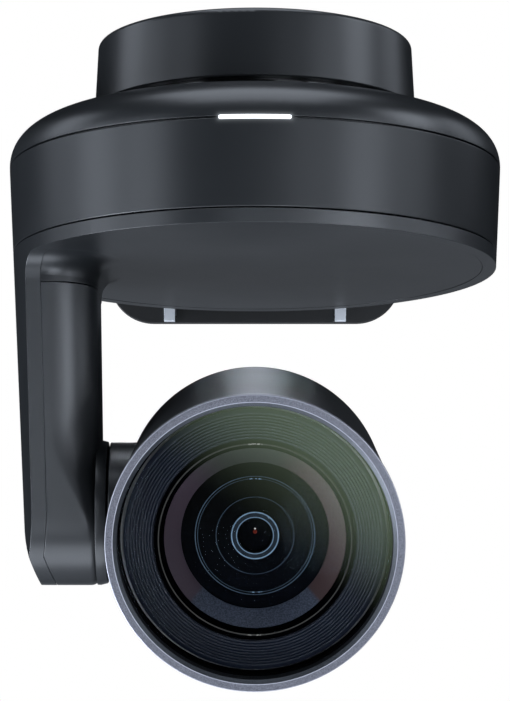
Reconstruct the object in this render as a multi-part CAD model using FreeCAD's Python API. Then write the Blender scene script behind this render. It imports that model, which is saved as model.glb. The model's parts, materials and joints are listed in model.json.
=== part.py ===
"""Pan and tilt conference camera that hangs upside down from a wall bracket, modelled piece by piece.

+Z is up, -Y is away from the wall towards the front, +X is the viewer's right. Millimetres.
Each function builds one node about the pan axis, with z = 0 at the foot's mounting face.
export_all() then moves every node so that the row's origin is the centre of the four wall
holes on the wall face, and writes one STEP per node.
"""
import FreeCAD, Part
import math
import os

V = FreeCAD.Vector
X_AXIS, Y_AXIS, Z_AXIS = V(1, 0, 0), V(0, 1, 0), V(0, 0, 1)
ORIGIN = V(0, 0, 0)

# ---------------------------------------------------------------- driving dimensions
BODY_R = 76.0                 # widest radius of the drum, at the light bar's seam
DRAFT = 0.052                 # every outer wall leans in by this much per mm of height
WALL = 2.4                    # moulded wall thickness
FOOT_H = 21.3                 # height of the round foot
FOOT_TOP_R = 48.9
FOOT_ROUND = 1.7
NECK_R = 47.0                 # gloss ring between foot and drum
DOME_TOP_Z = -25.8
DOME_RISE = 14.2              # height and width of the dome's shoulder, a quarter superellipse
DOME_RUN = 19.6
DOME_POWER = 2.25             # 2 would be a plain ellipse
SEAM_Z = -40.0                # seam that carries the light bar
SEAM_GAP = 0.35
BAND_END_Z = -66.1            # lower edge of the fixed drum
PAN_GAP = 0.5                 # gap between fixed drum and turning yoke
DISC_Z = -70.7                # underside of the turning disc
RIM = 4.2                     # width of the yoke shell's rim
LIGHT_HALF_ANGLE = 7.55       # degrees
LIGHT_H = 1.1
TILT_Z = -146.1               # height of the tilt axis
REST_TILT = 15.5              # lens points this far below the horizon at rest, degrees
ARM_END_R = 22.15             # rounded end of the arm, about the tilt axis
ARM_DRAFT = 3.5               # degrees; the arm's front and back faces close in downwards
ARM_IN_TOP_X = -48.0          # inner face of the arm, top and bottom
ARM_IN_LOW_X = -46.9
ARM_ROUND = 15.5              # the arm's inner corners are almost a half round column
ARM_SEAM_Z = -79.1            # seam between the disc's arm root and the arm cover
ROOT_FILLET = 7.0
YOKE_CORNER = 8.0             # between the ring's lower edge and the arm's skin
END_CURVE_Z = -148.0          # below this the arm's outer face curves inwards
END_CURVE_R = 51.0
BOSS_FACE_X = -44.7
HUB_X = -44.1                 # outer face of the head's hub
HUB_R = 21.4
HEAD_FRONT = 58.0             # bezel face ahead of the tilt axis
HEAD_BACK = -42.5
BEZEL_R = 43.4
BEZEL_FACE = 2.45
BARREL_FRONT_R = 43.0
BARREL_BACK_R = 40.9
CAP_SEAM = -33.0
CAP_ROUND = 9.0
WINDOW_Z = 54.2               # front of the protective window, from the tilt axis
BAFFLE_Z = 51.2               # inner edge of the ribbed cone
BAFFLE_DROP = 1.0             # and how much lower its outer edge lies
BAFFLE_OUT_R = 38.5
BAFFLE_FLANGE_R = 39.15
BAFFLE_IN_R = 29.2
RIB_PITCH = 0.95
RIB_COUNT = 8
HOOD_LIP_R = 28.4             # outer edge of the dark step inside the bright lip
HOOD_OUT_R = 27.0
HOOD_FACE_Z = 48.0            # outer edge of the sloping frosted ring
FRONT_LENS_R = 21.7           # clear radius in front of the first element
FRONT_LENS_Z = 43.0
TUBE_R = 24.4
TUBE_WALL = 1.8
TUBE_BACK, TUBE_FRONT = -20.0, 42.7
RUN = 0.05                    # radial running clearance
TOUCH = 0.02                  # clearance between pieces that are fixed together
SHADOW_GAP = 0.12             # visible joint line between two mouldings

# gears: teeth, module, and where the pinions sit
PAN_GEAR_TEETH, PAN_PINION_TEETH, PAN_MODULE = 60, 12, 1.25
TILT_GEAR_TEETH, TILT_PINION_TEETH, TILT_MODULE = 44, 12, 0.8
PAN_CENTRES = PAN_MODULE * (PAN_GEAR_TEETH + PAN_PINION_TEETH) / 2
TILT_CENTRES = TILT_MODULE * (TILT_GEAR_TEETH + TILT_PINION_TEETH) / 2
PAN_GEAR_Z = -65.5            # underside of the pan gear
GEAR_W = 4.0
TILT_GEAR_X = -62.3           # outer face of the tilt gear
SHAFT_R = 7.95
TILT_MOTOR_Z = TILT_Z + TILT_CENTRES
TILT_MOTOR_SHAFT_R = 1.5
TILT_MOTOR_SCREWS_Y = (-14.5, 14.5)

# pan bearing, chassis and boards
BALL_R, BALL_COUNT, BALL_PITCH_R = 2.4, 16, 25.0
RACE_GAP = 1.0                # half the gap between the two races
BEARING_Z, BEARING_H, BEARING_R = -57.5, 7.0, 30.0
BALL_Z = BEARING_Z + BEARING_H / 2
SPINDLE_R, SPINDLE_BORE_R = 20.0, 14.0
CHASSIS_T = 3.0
CHASSIS_Z = BEARING_Z + BEARING_H
MOTOR_Z = CHASSIS_Z + CHASSIS_T
PAN_SHAFT_R = 2.0
PCB_T = 1.5
BOARD_Z = CHASSIS_Z + 17.4
BOARD_HOLES_R = 62.0

# foot: sockets as name, centre x, half width and half height, all in one row
SOCKET_Z = -11.0
SOCKETS = {
    "power_jack": (-20.5, 4.6, 4.6),
    "usb_c_socket": (-8.5, 4.6, 1.7),
    "hdmi_socket": (6.0, 7.6, 2.7),
    "control_socket": (20.5, 4.8, 4.8),
}
BUTTON_X, BUTTON_R = 28.4, 1.9
PANEL_Y, PANEL_HALF_W, PANEL_T = 35.8, 32.2, 1.6
BAY_LOW_Z, BAY_TOP_Z = -18.0, -4.4
SCREW_SIZE, SCREW_HEAD_R, SCREW_HEAD_H = 1.2, 2.6, 1.4

# bracket and wall plate
SHEET = 3.0
BEND_R = 2.5                  # inside radius of the sheet's bend
BRACKET_Y = 84.0              # front face of the bracket's upright
BRACKET_HALF_W = 48.8
BRACKET_LOW_Z = -72.8
BRACKET_CORNER = 15.0
SHELF_HALF_W = 36.0
WALL_SHEET = 2.5
HOOK_X = 28.5
HOOK_W = 3.6
WALL_HOLES_X, WALL_HOLES_Z, WALL_HOLES_MID_Z = 70.0, 40.0, -38.0
WALL_HOLE_R = 2.75
ACCESS_HOLE_R = 6.0
WALL_FACE_Y = BRACKET_Y + SHEET + WALL_SHEET

# zoom and focus
ROD_R, ROD_PITCH_R = 1.0, 18.6
SCREW_R = 1.2
CARRIER_R, CARRIER_BORE_R = 20.4, 9.0
ZOOM_Z, FOCUS_Z, CARRIER_T = 6.0, -12.0, 3.0
STEP_Z, STEP_R = 30.0, 17.2   # inner step of the lens tube and its clear radius
FRONT_SEAT_Z = 39.8


# ---------------------------------------------------------------- shared shapes
def cyl(r, h, base=ORIGIN, axis=Z_AXIS):
    return Part.makeCylinder(r, h, base, axis)


def ring(r_out, r_in, h, base=ORIGIN, axis=Z_AXIS):
    return cyl(r_out, h, base, axis).cut(cyl(r_in, h, base, axis))


def block(x0, x1, y0, y1, z0, z1):
    return Part.makeBox(x1 - x0, y1 - y0, z1 - z0, V(x0, y0, z0))


def turned(outline):
    """A solid of revolution about Z from (radius, height) corners; a triple's third value bulges to an arc."""
    edges = []
    for a, b in zip(outline, outline[1:] + outline[:1]):
        p, q = V(a[0], 0, a[1]), V(b[0], 0, b[1])
        if p.distanceToPoint(q) < 1e-9:
            continue
        if len(b) == 3:
            mid = b[2]
            edges.append(Part.Arc(p, V(mid[0], 0, mid[1]), q).toShape())
        else:
            edges.append(Part.makeLine(p, q))
    face = Part.Face(Part.Wire(edges))
    return solid_of(face.revolve(ORIGIN, Z_AXIS, 360))


def solid_of(shape):
    solids = shape.Solids
    return solids[0] if len(solids) == 1 else shape


def joined(first, *others):
    shape = first
    for other in others:
        shape = shape.fuse(other)
    return shape.removeSplitter()


def body_radius(z):
    """Outer radius of the drum and the arm at height z, below the seam."""
    return BODY_R - DRAFT * (SEAM_Z - z)


def cone(z_top, z_low, inset=0.0):
    """The drum's tapered outline between two heights, made smaller by inset."""
    top, low = body_radius(z_top) - inset, body_radius(z_low) - inset
    return Part.makeCone(low, top, z_top - z_low, V(0, 0, z_low), Z_AXIS)


def around(shape, count, first=0.0):
    """Copies of a shape turned about Z."""
    copies = []
    for k in range(count):
        one = shape.copy()
        one.rotate(ORIGIN, Z_AXIS, first + 360.0 * k / count)
        copies.append(one)
    return copies


def rounded_plate(half_w, z_low, z_high, y0, thickness, radius):
    """An upright plate facing Y with four rounded corners."""
    plate = block(-half_w, half_w, y0, y0 + thickness, z_low, z_high)
    corners = [e for e in plate.Edges if abs(e.tangentAt(e.FirstParameter).y) > 0.99]
    return plate.makeFillet(radius, corners)


def edge_at(shape, place):
    """The edge whose middle lies nearest to a place."""
    return min(shape.Edges, key=lambda e: e.CenterOfMass.distanceToPoint(place))


def screw(r, length, head_r, head_h, base, axis):
    """A plain machine screw, its head at base and its shank along axis."""
    head = cyl(head_r, head_h, base, axis)
    direction = V(axis).normalize()
    start = base + direction * head_h
    shank = cyl(r, length, start, axis)
    socket = cyl(head_r * 0.45, head_h * 0.6, base, axis)
    return solid_of(joined(head, shank).cut(socket))


def gear(teeth, module, width, backlash=0.14, pressure=20.0):
    """An external spur gear about Z with a tooth centred on +X."""
    pitch = teeth * module / 2
    base = pitch * math.cos(math.radians(pressure))
    root, tip = pitch - 1.25 * module, pitch + module
    half = (math.pi * module / 2 - backlash) / 2 / pitch

    def involute(radius):
        a = math.acos(min(1.0, base / radius))
        return math.tan(a) - a

    radii = [max(root, base), pitch, tip]
    flank = [(r, half + involute(pitch) - involute(r)) for r in radii]
    if root < base:
        flank.insert(0, (root, flank[0][1]))
    points = []
    for k in range(teeth):
        centre = 2 * math.pi * k / teeth
        for r, a in flank:
            points.append(V(r * math.cos(centre - a), r * math.sin(centre - a), 0))
        for r, a in reversed(flank):
            points.append(V(r * math.cos(centre + a), r * math.sin(centre + a), 0))
    face = Part.Face(Part.makePolygon(points + points[:1]))
    return face.extrude(V(0, 0, width))


def seat_pinion(shape, teeth, toward):
    """Turns a pinion so that a tooth space faces the direction `toward`, in degrees."""
    shape.rotate(ORIGIN, Z_AXIS, toward + 180.0 / teeth)
    return shape


# ---------------------------------------------------------------- wall bracket
def wall_bracket():
    shelf = joined(
        cyl(SHELF_HALF_W, SHEET),
        block(-SHELF_HALF_W, SHELF_HALF_W, 0, BRACKET_Y + SHEET, 0, SHEET),
    )
    neck = block(-SHELF_HALF_W, SHELF_HALF_W, BRACKET_Y, BRACKET_Y + SHEET, -20, SHEET)
    upright = rounded_plate(BRACKET_HALF_W, BRACKET_LOW_Z, -8, BRACKET_Y, SHEET, BRACKET_CORNER)
    bracket = joined(shelf, neck, upright)
    outer_bend = V(0, BRACKET_Y + SHEET, SHEET)
    inner_bend = V(0, BRACKET_Y, 0)
    bracket = bracket.makeFillet(BEND_R + SHEET, [edge_at(bracket, outer_bend)])
    bracket = bracket.makeFillet(BEND_R, [edge_at(bracket, inner_bend)])
    screw_hole = cyl(3.4, SHEET)
    bracket = bracket.cut(screw_hole)
    for x in (-HOOK_X, HOOK_X):
        slot = block(x - HOOK_W / 2 - 0.3, x + HOOK_W / 2 + 0.3, BRACKET_Y - 1, BRACKET_Y + 5, -70.4, -60)
        bracket = bracket.cut(slot)
    for x, z in wall_hole_places():
        bracket = bracket.cut(cyl(ACCESS_HOLE_R, SHEET + 2, V(x, BRACKET_Y - 1, z), Y_AXIS))
    return bracket


def wall_hole_places():
    return [
        (sx * WALL_HOLES_X / 2, WALL_HOLES_MID_Z + sz * WALL_HOLES_Z / 2)
        for sx in (-1, 1) for sz in (-1, 1)
    ]


def wall_hook_plate():
    back = BRACKET_Y + SHEET
    plate = rounded_plate(44.0, -70.0, -10.0, back, WALL_SHEET, 6.0)
    for x, z in wall_hole_places():
        plate = plate.cut(cyl(WALL_HOLE_R, WALL_SHEET, V(x, back, z), Y_AXIS))
    for x in (-HOOK_X, HOOK_X):
        through = block(x - HOOK_W / 2, x + HOOK_W / 2, BRACKET_Y - 2.6, back, -70.2, -63)
        lip = block(x - HOOK_W / 2, x + HOOK_W / 2, BRACKET_Y - 2.6, BRACKET_Y - 0.1, BRACKET_LOW_Z + 0.2, -63)
        plate = joined(plate, through, lip)
    return plate


def bracket_screw():
    """Captive screw with a knurled head that clamps the shelf to the foot."""
    head = cyl(9.0, 6.0, V(0, 0, SHEET + 0.6))
    for flute in around(cyl(1.1, 6.0, V(9.3, 0, SHEET + 0.6)), 18):
        head = head.cut(flute)
    washer = cyl(7.5, 0.6, V(0, 0, SHEET))
    shank = cyl(3.1, 12.0, V(0, 0, SHEET - 12.0))
    return joined(head, washer, shank)


# ---------------------------------------------------------------- foot
def foot_radius(z):
    return FOOT_TOP_R - 0.043 * z


def foot_shell():
    low_r = foot_radius(-FOOT_H)
    round_mid = FOOT_ROUND * (1 - math.sqrt(0.5))
    shell = turned([
        (10, 0), (FOOT_TOP_R - FOOT_ROUND, 0),
        (FOOT_TOP_R, -FOOT_ROUND, (FOOT_TOP_R - round_mid, -round_mid)),
        (low_r, -FOOT_H + 0.4), (low_r - 0.4, -FOOT_H), (NECK_R - 1.5, -FOOT_H),
        (NECK_R - 1.5, -FOOT_H + 2), (low_r - WALL, -FOOT_H + 2),
        (FOOT_TOP_R - WALL, -3), (10, -3),
    ])
    pad_groove = ring(44.0, 37.0, 1.0, V(0, 0, -1.0))
    bay_floor = cyl(46.0, 2.0, V(0, 0, -FOOT_H)).common(block(-46, 46, PANEL_Y + 0.2, 60, -30, 0))
    port_bay = block(-PANEL_HALF_W + 1.2, PANEL_HALF_W - 1.2, PANEL_Y - 1, 60, BAY_LOW_Z, BAY_TOP_Z)
    for_panel = panel_blank(0.1)
    shell = joined(shell, bay_floor).cut(pad_groove).cut(port_bay).cut(for_panel)
    for x, y in foot_screw_places():
        shell = shell.cut(cyl(SCREW_SIZE + 0.4, 3.2, V(x, y, -3.1)))
        shell = shell.cut(cyl(SCREW_HEAD_R + 0.2, 2.0, V(x, y, -SCREW_HEAD_H - 0.1)))
    return shell


def foot_screw_places():
    return [(sx * 22.0, sy * 22.0) for sx in (-1, 1) for sy in (-1, 1)]


def foot_pad():
    return ring(44.0 - TOUCH, 37.0 + TOUCH, 1.0 - TOUCH, V(0, 0, -1.0 + TOUCH))


def foot_plate():
    """Steel plate inside the foot with the threaded tripod boss."""
    plate = cyl(30.0, 2.5, V(0, 0, -5.6))
    boss = cyl(9.9, 12.6, V(0, 0, -12.6))
    plate = joined(plate, boss).cut(cyl(3.2, 10.6, V(0, 0, -10.6)))
    for x, y in foot_screw_places():
        plate = plate.cut(cyl(SCREW_SIZE + TOUCH, 3.0, V(x, y, -5.8)))
    return plate


def base_screws():
    """The same small screw used eight times: foot plate to foot shell, and main board to chassis."""
    foot = [small_screw(V(x, y, -0.08)) for x, y in foot_screw_places()]
    board = around(small_screw(V(0, BOARD_HOLES_R, BOARD_Z + PCB_T + SCREW_HEAD_H)), 4, 45)
    return Part.makeCompound(foot + board)


def small_screw(base):
    return screw(SCREW_SIZE, 4.6, SCREW_HEAD_R, SCREW_HEAD_H, base, V(0, 0, -1))


def panel_blank(extra):
    half_w = PANEL_HALF_W + extra
    low, high = BAY_LOW_Z - 0.3 - extra, BAY_TOP_Z + 0.5 + extra
    return block(-half_w, half_w, PANEL_Y - PANEL_T - extra, PANEL_Y + extra, low, high)


def port_panel():
    panel = panel_blank(0)
    for x, half_w, half_h in SOCKETS.values():
        panel = panel.cut(block(x - half_w, x + half_w, 33, 37, SOCKET_Z - half_h, SOCKET_Z + half_h))
    panel = panel.cut(cyl(BUTTON_R + 0.15, 4, V(BUTTON_X, 33, SOCKET_Z), Y_AXIS))
    lock_slot = block(-30.6, -27.4, 33, 37, SOCKET_Z - 3.4, SOCKET_Z + 3.2)
    return panel.cut(lock_slot)


def socket_body(name, cavity):
    x, half_w, half_h = SOCKETS[name]
    gap = 0.1
    body = block(x - half_w + gap, x + half_w - gap, 24.0, PANEL_Y + 0.6,
                 SOCKET_Z - half_h + gap, SOCKET_Z + half_h - gap)
    return body.cut(cavity)


def along_y(r, x, y, length, z=SOCKET_Z):
    return cyl(r, length, V(x, y, z), Y_AXIS)


def flat_tongue(x, half_w, y0, y1):
    return block(x - half_w, x + half_w, y0, y1, SOCKET_Z - 0.3, SOCKET_Z + 0.3)


def power_jack():
    x = SOCKETS["power_jack"][0]
    return joined(socket_body("power_jack", along_y(3.0, x, 27.5, 10)), along_y(1.0, x, 27.0, 9.0))


def usb_c_socket():
    x = SOCKETS["usb_c_socket"][0]
    half_w, half_h = 2.9, 1.2
    cavity = joined(
        block(x - half_w, x + half_w, 29.0, 37, SOCKET_Z - half_h, SOCKET_Z + half_h),
        along_y(half_h, x - half_w, 29, 8), along_y(half_h, x + half_w, 29, 8),
    )
    return joined(socket_body("usb_c_socket", cavity), flat_tongue(x, 2.3, 28.5, 35.0))


def hdmi_socket():
    x = SOCKETS["hdmi_socket"][0]
    cavity = block(x - 6.9, x + 6.9, 28.0, 37, SOCKET_Z - 2.0, SOCKET_Z + 2.0)
    return joined(socket_body("hdmi_socket", cavity), flat_tongue(x, 5.4, 27.0, 34.5))


def control_socket():
    x, pin_circle, pin_count = SOCKETS["control_socket"][0], 2.0, 5
    pins = []
    for k in range(pin_count):
        a = math.radians(36 + 360 * k / pin_count)
        pins.append(along_y(0.35, x + pin_circle * math.cos(a), 28.0, 7.0, SOCKET_Z + pin_circle * math.sin(a)))
    return joined(socket_body("control_socket", along_y(4.0, x, 28.5, 10)), *pins)


def pairing_button():
    return joined(along_y(BUTTON_R, BUTTON_X, 32.6, 4.6), along_y(2.5, BUTTON_X, 32.6, 0.8))


def io_board():
    low = -FOOT_H + 0.5
    top = low + PCB_T
    pieces = [
        block(-34, 34, 4, 33.5, low, top),
        block(-14, -4, 10, 20, top, top + 1.4),
        block(6, 13, 12, 19, top, top + 1.9),
        block(BUTTON_X - 3, BUTTON_X + 3, 26.0, 31.7, top, SOCKET_Z + 2.5),
    ]
    for x, half_w, half_h in SOCKETS.values():
        pieces.append(block(x - half_w + 1, x + half_w - 1, 26.0, 32.0, top, SOCKET_Z - half_h + 0.1))
    return joined(*pieces).common(cyl(44.6, 30, V(0, 0, -30)))


# ---------------------------------------------------------------- fixed drum
def neck_ring():
    low = DOME_TOP_Z - 0.2
    return ring(NECK_R, NECK_R - 3.0, -FOOT_H - low, V(0, 0, low))


def dome_outline(inset):
    """Shoulder of the dome from the seam upwards: a smooth curve through a quarter superellipse."""
    run, rise = DOME_RUN - inset, DOME_RISE - inset
    steps, power = 12, 2 / DOME_POWER
    points = []
    for k in range(steps + 1):
        a = math.pi / 2 * k / steps
        across = max(0.0, math.cos(a)) ** power
        up = max(0.0, math.sin(a)) ** power
        points.append(V(BODY_R - DOME_RUN + run * across, 0, SEAM_Z + rise * up))
    curve = Part.BSplineCurve()
    curve.interpolate(Points=points, InitialTangent=V(0, 0, 1), FinalTangent=V(-1, 0, 0))
    return curve.toShape(), points


def upper_shell():
    outer, out_pts = dome_outline(0.0)
    inner, in_pts = dome_outline(WALL)
    lip_z = SEAM_Z - 2.0
    seam_top = SEAM_Z + SEAM_GAP / 2
    top_in = NECK_R - 3.0
    corners_out = [V(top_in, 0, DOME_TOP_Z + 0.5), out_pts[-1]]
    corners_in = [in_pts[-1], V(top_in, 0, DOME_TOP_Z + 0.5 - WALL)]
    edges = [
        Part.makeLine(corners_out[0], corners_out[1]), outer,
        Part.makeLine(out_pts[0], in_pts[0]), inner,
        Part.makeLine(corners_in[0], corners_in[1]),
        Part.makeLine(corners_in[1], corners_out[0]),
    ]
    shell = solid_of(Part.Face(Part.Wire(Part.__sortEdges__(edges))).revolve(ORIGIN, Z_AXIS, 360))
    trim = ring(BODY_R + 5, BODY_R - WALL * 0.55, SEAM_GAP, V(0, 0, SEAM_Z))
    tongue_r = BODY_R - WALL - 0.2
    tongue = ring(tongue_r, tongue_r - 1.2, SEAM_Z + 3 - lip_z, V(0, 0, lip_z))
    shell = joined(shell.cut(trim), tongue)
    neck_seat = cyl(NECK_R + TOUCH, 10, V(0, 0, DOME_TOP_Z - 0.25))
    return shell.cut(neck_seat).cut(light_cavity())


def light_segment(r_in, r_out, half_angle, half_h):
    """A bar that follows the drum's front, with rounded ends."""
    bar = ring(r_out, r_in, 2 * half_h, V(0, 0, SEAM_Z - half_h))
    reach = 2 * r_out
    a = math.radians(half_angle)
    tip = V(reach * math.sin(a), -reach * math.cos(a), 0)
    wedge = Part.Face(Part.makePolygon([ORIGIN, tip, V(-tip.x, tip.y, 0), ORIGIN])).extrude(V(0, 0, 40))
    wedge.translate(V(0, 0, SEAM_Z - 20))
    bar = bar.common(wedge)
    ends = []
    for side in (-1, 1):
        direction = V(side * math.sin(a), -math.cos(a), 0)
        post = cyl(half_h, r_out + 2 - r_in, direction * r_in + V(0, 0, SEAM_Z), direction)
        ends.append(post.common(ring(r_out, r_in, 2 * half_h, V(0, 0, SEAM_Z - half_h))))
    return joined(bar, *ends)


def light_bar():
    return light_segment(BODY_R - 4.0, BODY_R + 0.05, LIGHT_HALF_ANGLE, LIGHT_H / 2)


def light_cavity():
    return light_segment(BODY_R - 4.2, BODY_R + 2, LIGHT_HALF_ANGLE, LIGHT_H / 2 + 0.1)


def led_board():
    board = block(-14, 14, -71.4, -70.0, -44.5, -35.4)
    leds = [block(x - 1.2, x + 1.2, -71.9, -71.4, SEAM_Z - 0.5, SEAM_Z + 0.5) for x in (-7, 0, 7)]
    return joined(board, *leds).cut(ring(90, 71.95, 30, V(0, 0, -60)))


def band_shell():
    top = SEAM_Z - SEAM_GAP / 2
    outer = cone(top, BAND_END_Z)
    inner = cone(top + 1, BAND_END_Z - 1, WALL)
    shell = outer.cut(inner)
    sharp = [e for e in shell.Edges if abs(e.Length - 2 * math.pi * BODY_R) < 12 and
             e.BoundBox.XMax > body_radius(e.CenterOfMass.z) - 1]
    shell = shell.makeFillet(0.25, sharp)
    return shell.cut(light_cavity())


def base_chassis():
    """Cast plate that carries the bearing, the pan motor and the boards, and ties the shells together."""
    plate = cyl(body_radius(CHASSIS_Z) - WALL - 0.6, CHASSIS_T, V(0, 0, CHASSIS_Z))
    cup = cyl(BEARING_R + 3.0, BEARING_H + CHASSIS_T, V(0, 0, BEARING_Z))
    chassis = joined(plate, cup)
    chassis = chassis.cut(cyl(BEARING_R + TOUCH, BEARING_H, V(0, 0, BEARING_Z)))
    chassis = chassis.cut(cyl(BEARING_R - 3.5, 20, V(0, 0, BEARING_Z)))
    chassis = chassis.cut(cyl(12.0, 10, V(0, PAN_CENTRES, CHASSIS_Z - 2)))
    for post in around(cyl(3.2, BOARD_Z - MOTOR_Z, V(0, BOARD_HOLES_R, MOTOR_Z)), 4, 45):
        chassis = joined(chassis, post)
    for hole in around(cyl(SCREW_SIZE + TOUCH, 9.0, V(0, BOARD_HOLES_R, BOARD_Z - 8.9)), 4, 45):
        chassis = chassis.cut(hole)
    for opening in around(cyl(9.0, 4.0, V(0, 50.0, CHASSIS_Z - 0.5)), 3, 90):
        chassis = chassis.cut(opening)
    return chassis


def main_board():
    top = BOARD_Z + PCB_T
    board = ring(66.0, 17.0, PCB_T, V(0, 0, BOARD_Z))
    for hole in around(cyl(1.6, PCB_T, V(0, BOARD_HOLES_R, BOARD_Z)), 4, 45):
        board = board.cut(hole)
    parts = [
        block(-11, 11, -46, -24, top, top + 1.2),
        block(22, 34, -16, -4, top, top + 1.1),
        block(22, 34, 2, 14, top, top + 1.1),
        block(-44, -30, 8, 16, BOARD_Z - 6.0, BOARD_Z),
        cyl(4.0, 7.0, V(40, 26, BOARD_Z - 7.0)),
        cyl(4.0, 7.0, V(30, 34, BOARD_Z - 7.0)),
    ]
    return joined(board, *parts).cut(cyl(19.5, 12, V(0, PAN_CENTRES, BOARD_Z - 12)))


# ---------------------------------------------------------------- pan drive
def race_groove():
    return Part.makeTorus(BALL_PITCH_R, BALL_R + RUN, V(0, 0, BALL_Z), Z_AXIS)


def pan_bearing_outer():
    return ring(BEARING_R, BALL_PITCH_R + RACE_GAP, BEARING_H, V(0, 0, BEARING_Z)).cut(race_groove())


def pan_bearing_inner():
    return ring(BALL_PITCH_R - RACE_GAP, SPINDLE_R, BEARING_H, V(0, 0, BEARING_Z)).cut(race_groove())


def pan_bearing_balls():
    return Part.makeCompound(around(Part.makeSphere(BALL_R, V(BALL_PITCH_R, 0, BALL_Z)), BALL_COUNT))


def ball_cage():
    """Two thin rims joined by a bar between each pair of balls."""
    half_h, rim_h, half_t = 3.1, 0.6, 0.7
    whole = ring(BALL_PITCH_R + half_t, BALL_PITCH_R - half_t, 2 * half_h, V(0, 0, BALL_Z - half_h))
    low_rim = whole.common(cyl(30, rim_h, V(0, 0, BALL_Z - half_h)))
    high_rim = whole.common(cyl(30, rim_h, V(0, 0, BALL_Z + half_h - rim_h)))
    bar = whole.common(block(0, 30, -half_t, half_t, BALL_Z - half_h, BALL_Z + half_h))
    return joined(low_rim, high_rim, *around(bar, BALL_COUNT, 180.0 / BALL_COUNT))


def pan_spindle():
    """Hollow spindle: stands on the disc, carries the gear and the inner race, and passes the cable."""
    foot_z, top_z = -68.1, CHASSIS_Z + 1.9
    tube = cyl(SPINDLE_R - TOUCH, top_z - foot_z - 0.5, V(0, 0, foot_z))
    flange = cyl(SPINDLE_R + 4.0, PAN_GEAR_Z - foot_z, V(0, 0, foot_z))
    shoulder = cyl(SPINDLE_R + 3.0, 0.7, V(0, 0, BEARING_Z - 0.7))
    nut = cyl(SPINDLE_R + 3.5, top_z - CHASSIS_Z - 0.1, V(0, 0, CHASSIS_Z + 0.1))
    spindle = joined(tube, flange, shoulder, nut).cut(cyl(SPINDLE_BORE_R, 30, V(0, 0, foot_z - 1)))
    cable_slot = block(-30, 0, -2.2, 2.2, foot_z - 0.1, PAN_GEAR_Z - 0.1)
    return spindle.cut(cable_slot)


def pan_gear():
    wheel = gear(PAN_GEAR_TEETH, PAN_MODULE, GEAR_W)
    wheel = wheel.cut(cyl(SPINDLE_R + TOUCH, GEAR_W))
    for hole in around(cyl(4.0, GEAR_W, V(28.5, 0, 0)), 6, 30):
        wheel = wheel.cut(hole)
    wheel.rotate(ORIGIN, Z_AXIS, 90)
    wheel.translate(V(0, 0, PAN_GEAR_Z))
    return wheel


def pan_motor():
    can = cyl(17.5, 13.5, V(0, PAN_CENTRES, MOTOR_Z))
    ears = block(-23, 23, PAN_CENTRES - 4, PAN_CENTRES + 4, MOTOR_Z, MOTOR_Z + 1.2)
    nose = cyl(5.0, CHASSIS_T, V(0, PAN_CENTRES, CHASSIS_Z))
    return joined(can, ears, nose).cut(cyl(PAN_SHAFT_R + RUN, 30, V(0, PAN_CENTRES, CHASSIS_Z - 2)))


def pan_pinion():
    width = GEAR_W + 0.3
    teeth = seat_pinion(gear(PAN_PINION_TEETH, PAN_MODULE, width), PAN_PINION_TEETH, -90)
    teeth.translate(V(0, PAN_CENTRES, PAN_GEAR_Z))
    hub = cyl(5.0, 4.5, V(0, PAN_CENTRES, PAN_GEAR_Z + width))
    shaft = cyl(PAN_SHAFT_R, 27.0, V(0, PAN_CENTRES, PAN_GEAR_Z + 1))
    return joined(teeth, hub, shaft)


# ---------------------------------------------------------------- turning yoke
def arm_half_depth(z, inset=0.0):
    lean = math.radians(ARM_DRAFT)
    return (ARM_END_R - inset) / math.cos(lean) + (z - TILT_Z) * math.tan(lean)


def arm_side_face(z_top, inset=0.0, x=0.0):
    """The arm seen from the side: leaning front and back edges and a round end about the tilt axis."""
    lean = math.radians(ARM_DRAFT)
    r = ARM_END_R - inset
    half = arm_half_depth(z_top, inset)
    touch_y, touch_z = r * math.cos(lean), TILT_Z - r * math.sin(lean)
    front_top, back_top = V(x, -half, z_top), V(x, half, z_top)
    front_touch, back_touch = V(x, -touch_y, touch_z), V(x, touch_y, touch_z)
    edges = [
        Part.makeLine(back_top, front_top),
        Part.makeLine(front_top, front_touch),
        Part.Arc(front_touch, V(x, 0, TILT_Z - r), back_touch).toShape(),
        Part.makeLine(back_touch, back_top),
    ]
    return Part.Face(Part.Wire(edges))


def arm_front_face(z_top, inset=0.0, outer_inset=0.0):
    """The arm seen from the front: slanted inner face, and an outer face that curves in at the end."""
    low = TILT_Z - ARM_END_R - 1
    inward = V(1, 0, DRAFT).normalize()
    curve_r = END_CURVE_R - outer_inset
    start = V(-body_radius(END_CURVE_Z), 0, END_CURVE_Z) + inward * outer_inset
    centre = start + inward * curve_r

    def on_curve(z):
        return V(centre.x - math.sqrt(curve_r ** 2 - (z - centre.z) ** 2), 0, z)

    inner_top = V(ARM_IN_TOP_X - inset, 0, z_top)
    inner_low = V(ARM_IN_LOW_X - inset, 0, TILT_Z + ARM_END_R)
    inner_end = V(ARM_IN_LOW_X - inset, 0, low)
    outer_top = V(-body_radius(END_CURVE_Z) - 10, 0, z_top)
    outer_low = V(outer_top.x, 0, start.z)
    end, middle = on_curve(low), on_curve((low + start.z) / 2)
    edges = [
        Part.makeLine(outer_top, inner_top), Part.makeLine(inner_top, inner_low),
        Part.makeLine(inner_low, inner_end), Part.makeLine(inner_end, end),
        Part.Arc(end, middle, start).toShape(),
        Part.makeLine(start, outer_low), Part.makeLine(outer_low, outer_top),
    ]
    return Part.Face(Part.Wire(edges))


def arm_limits(z_top, inset=0.0):
    """The whole arm's envelope: side view met with front view."""
    side = arm_side_face(z_top, inset, -90).extrude(V(90, 0, 0))
    front = arm_front_face(z_top, inset)
    front.translate(V(0, -50, 0))
    return side.common(front.extrude(V(0, 100, 0)))


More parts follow.
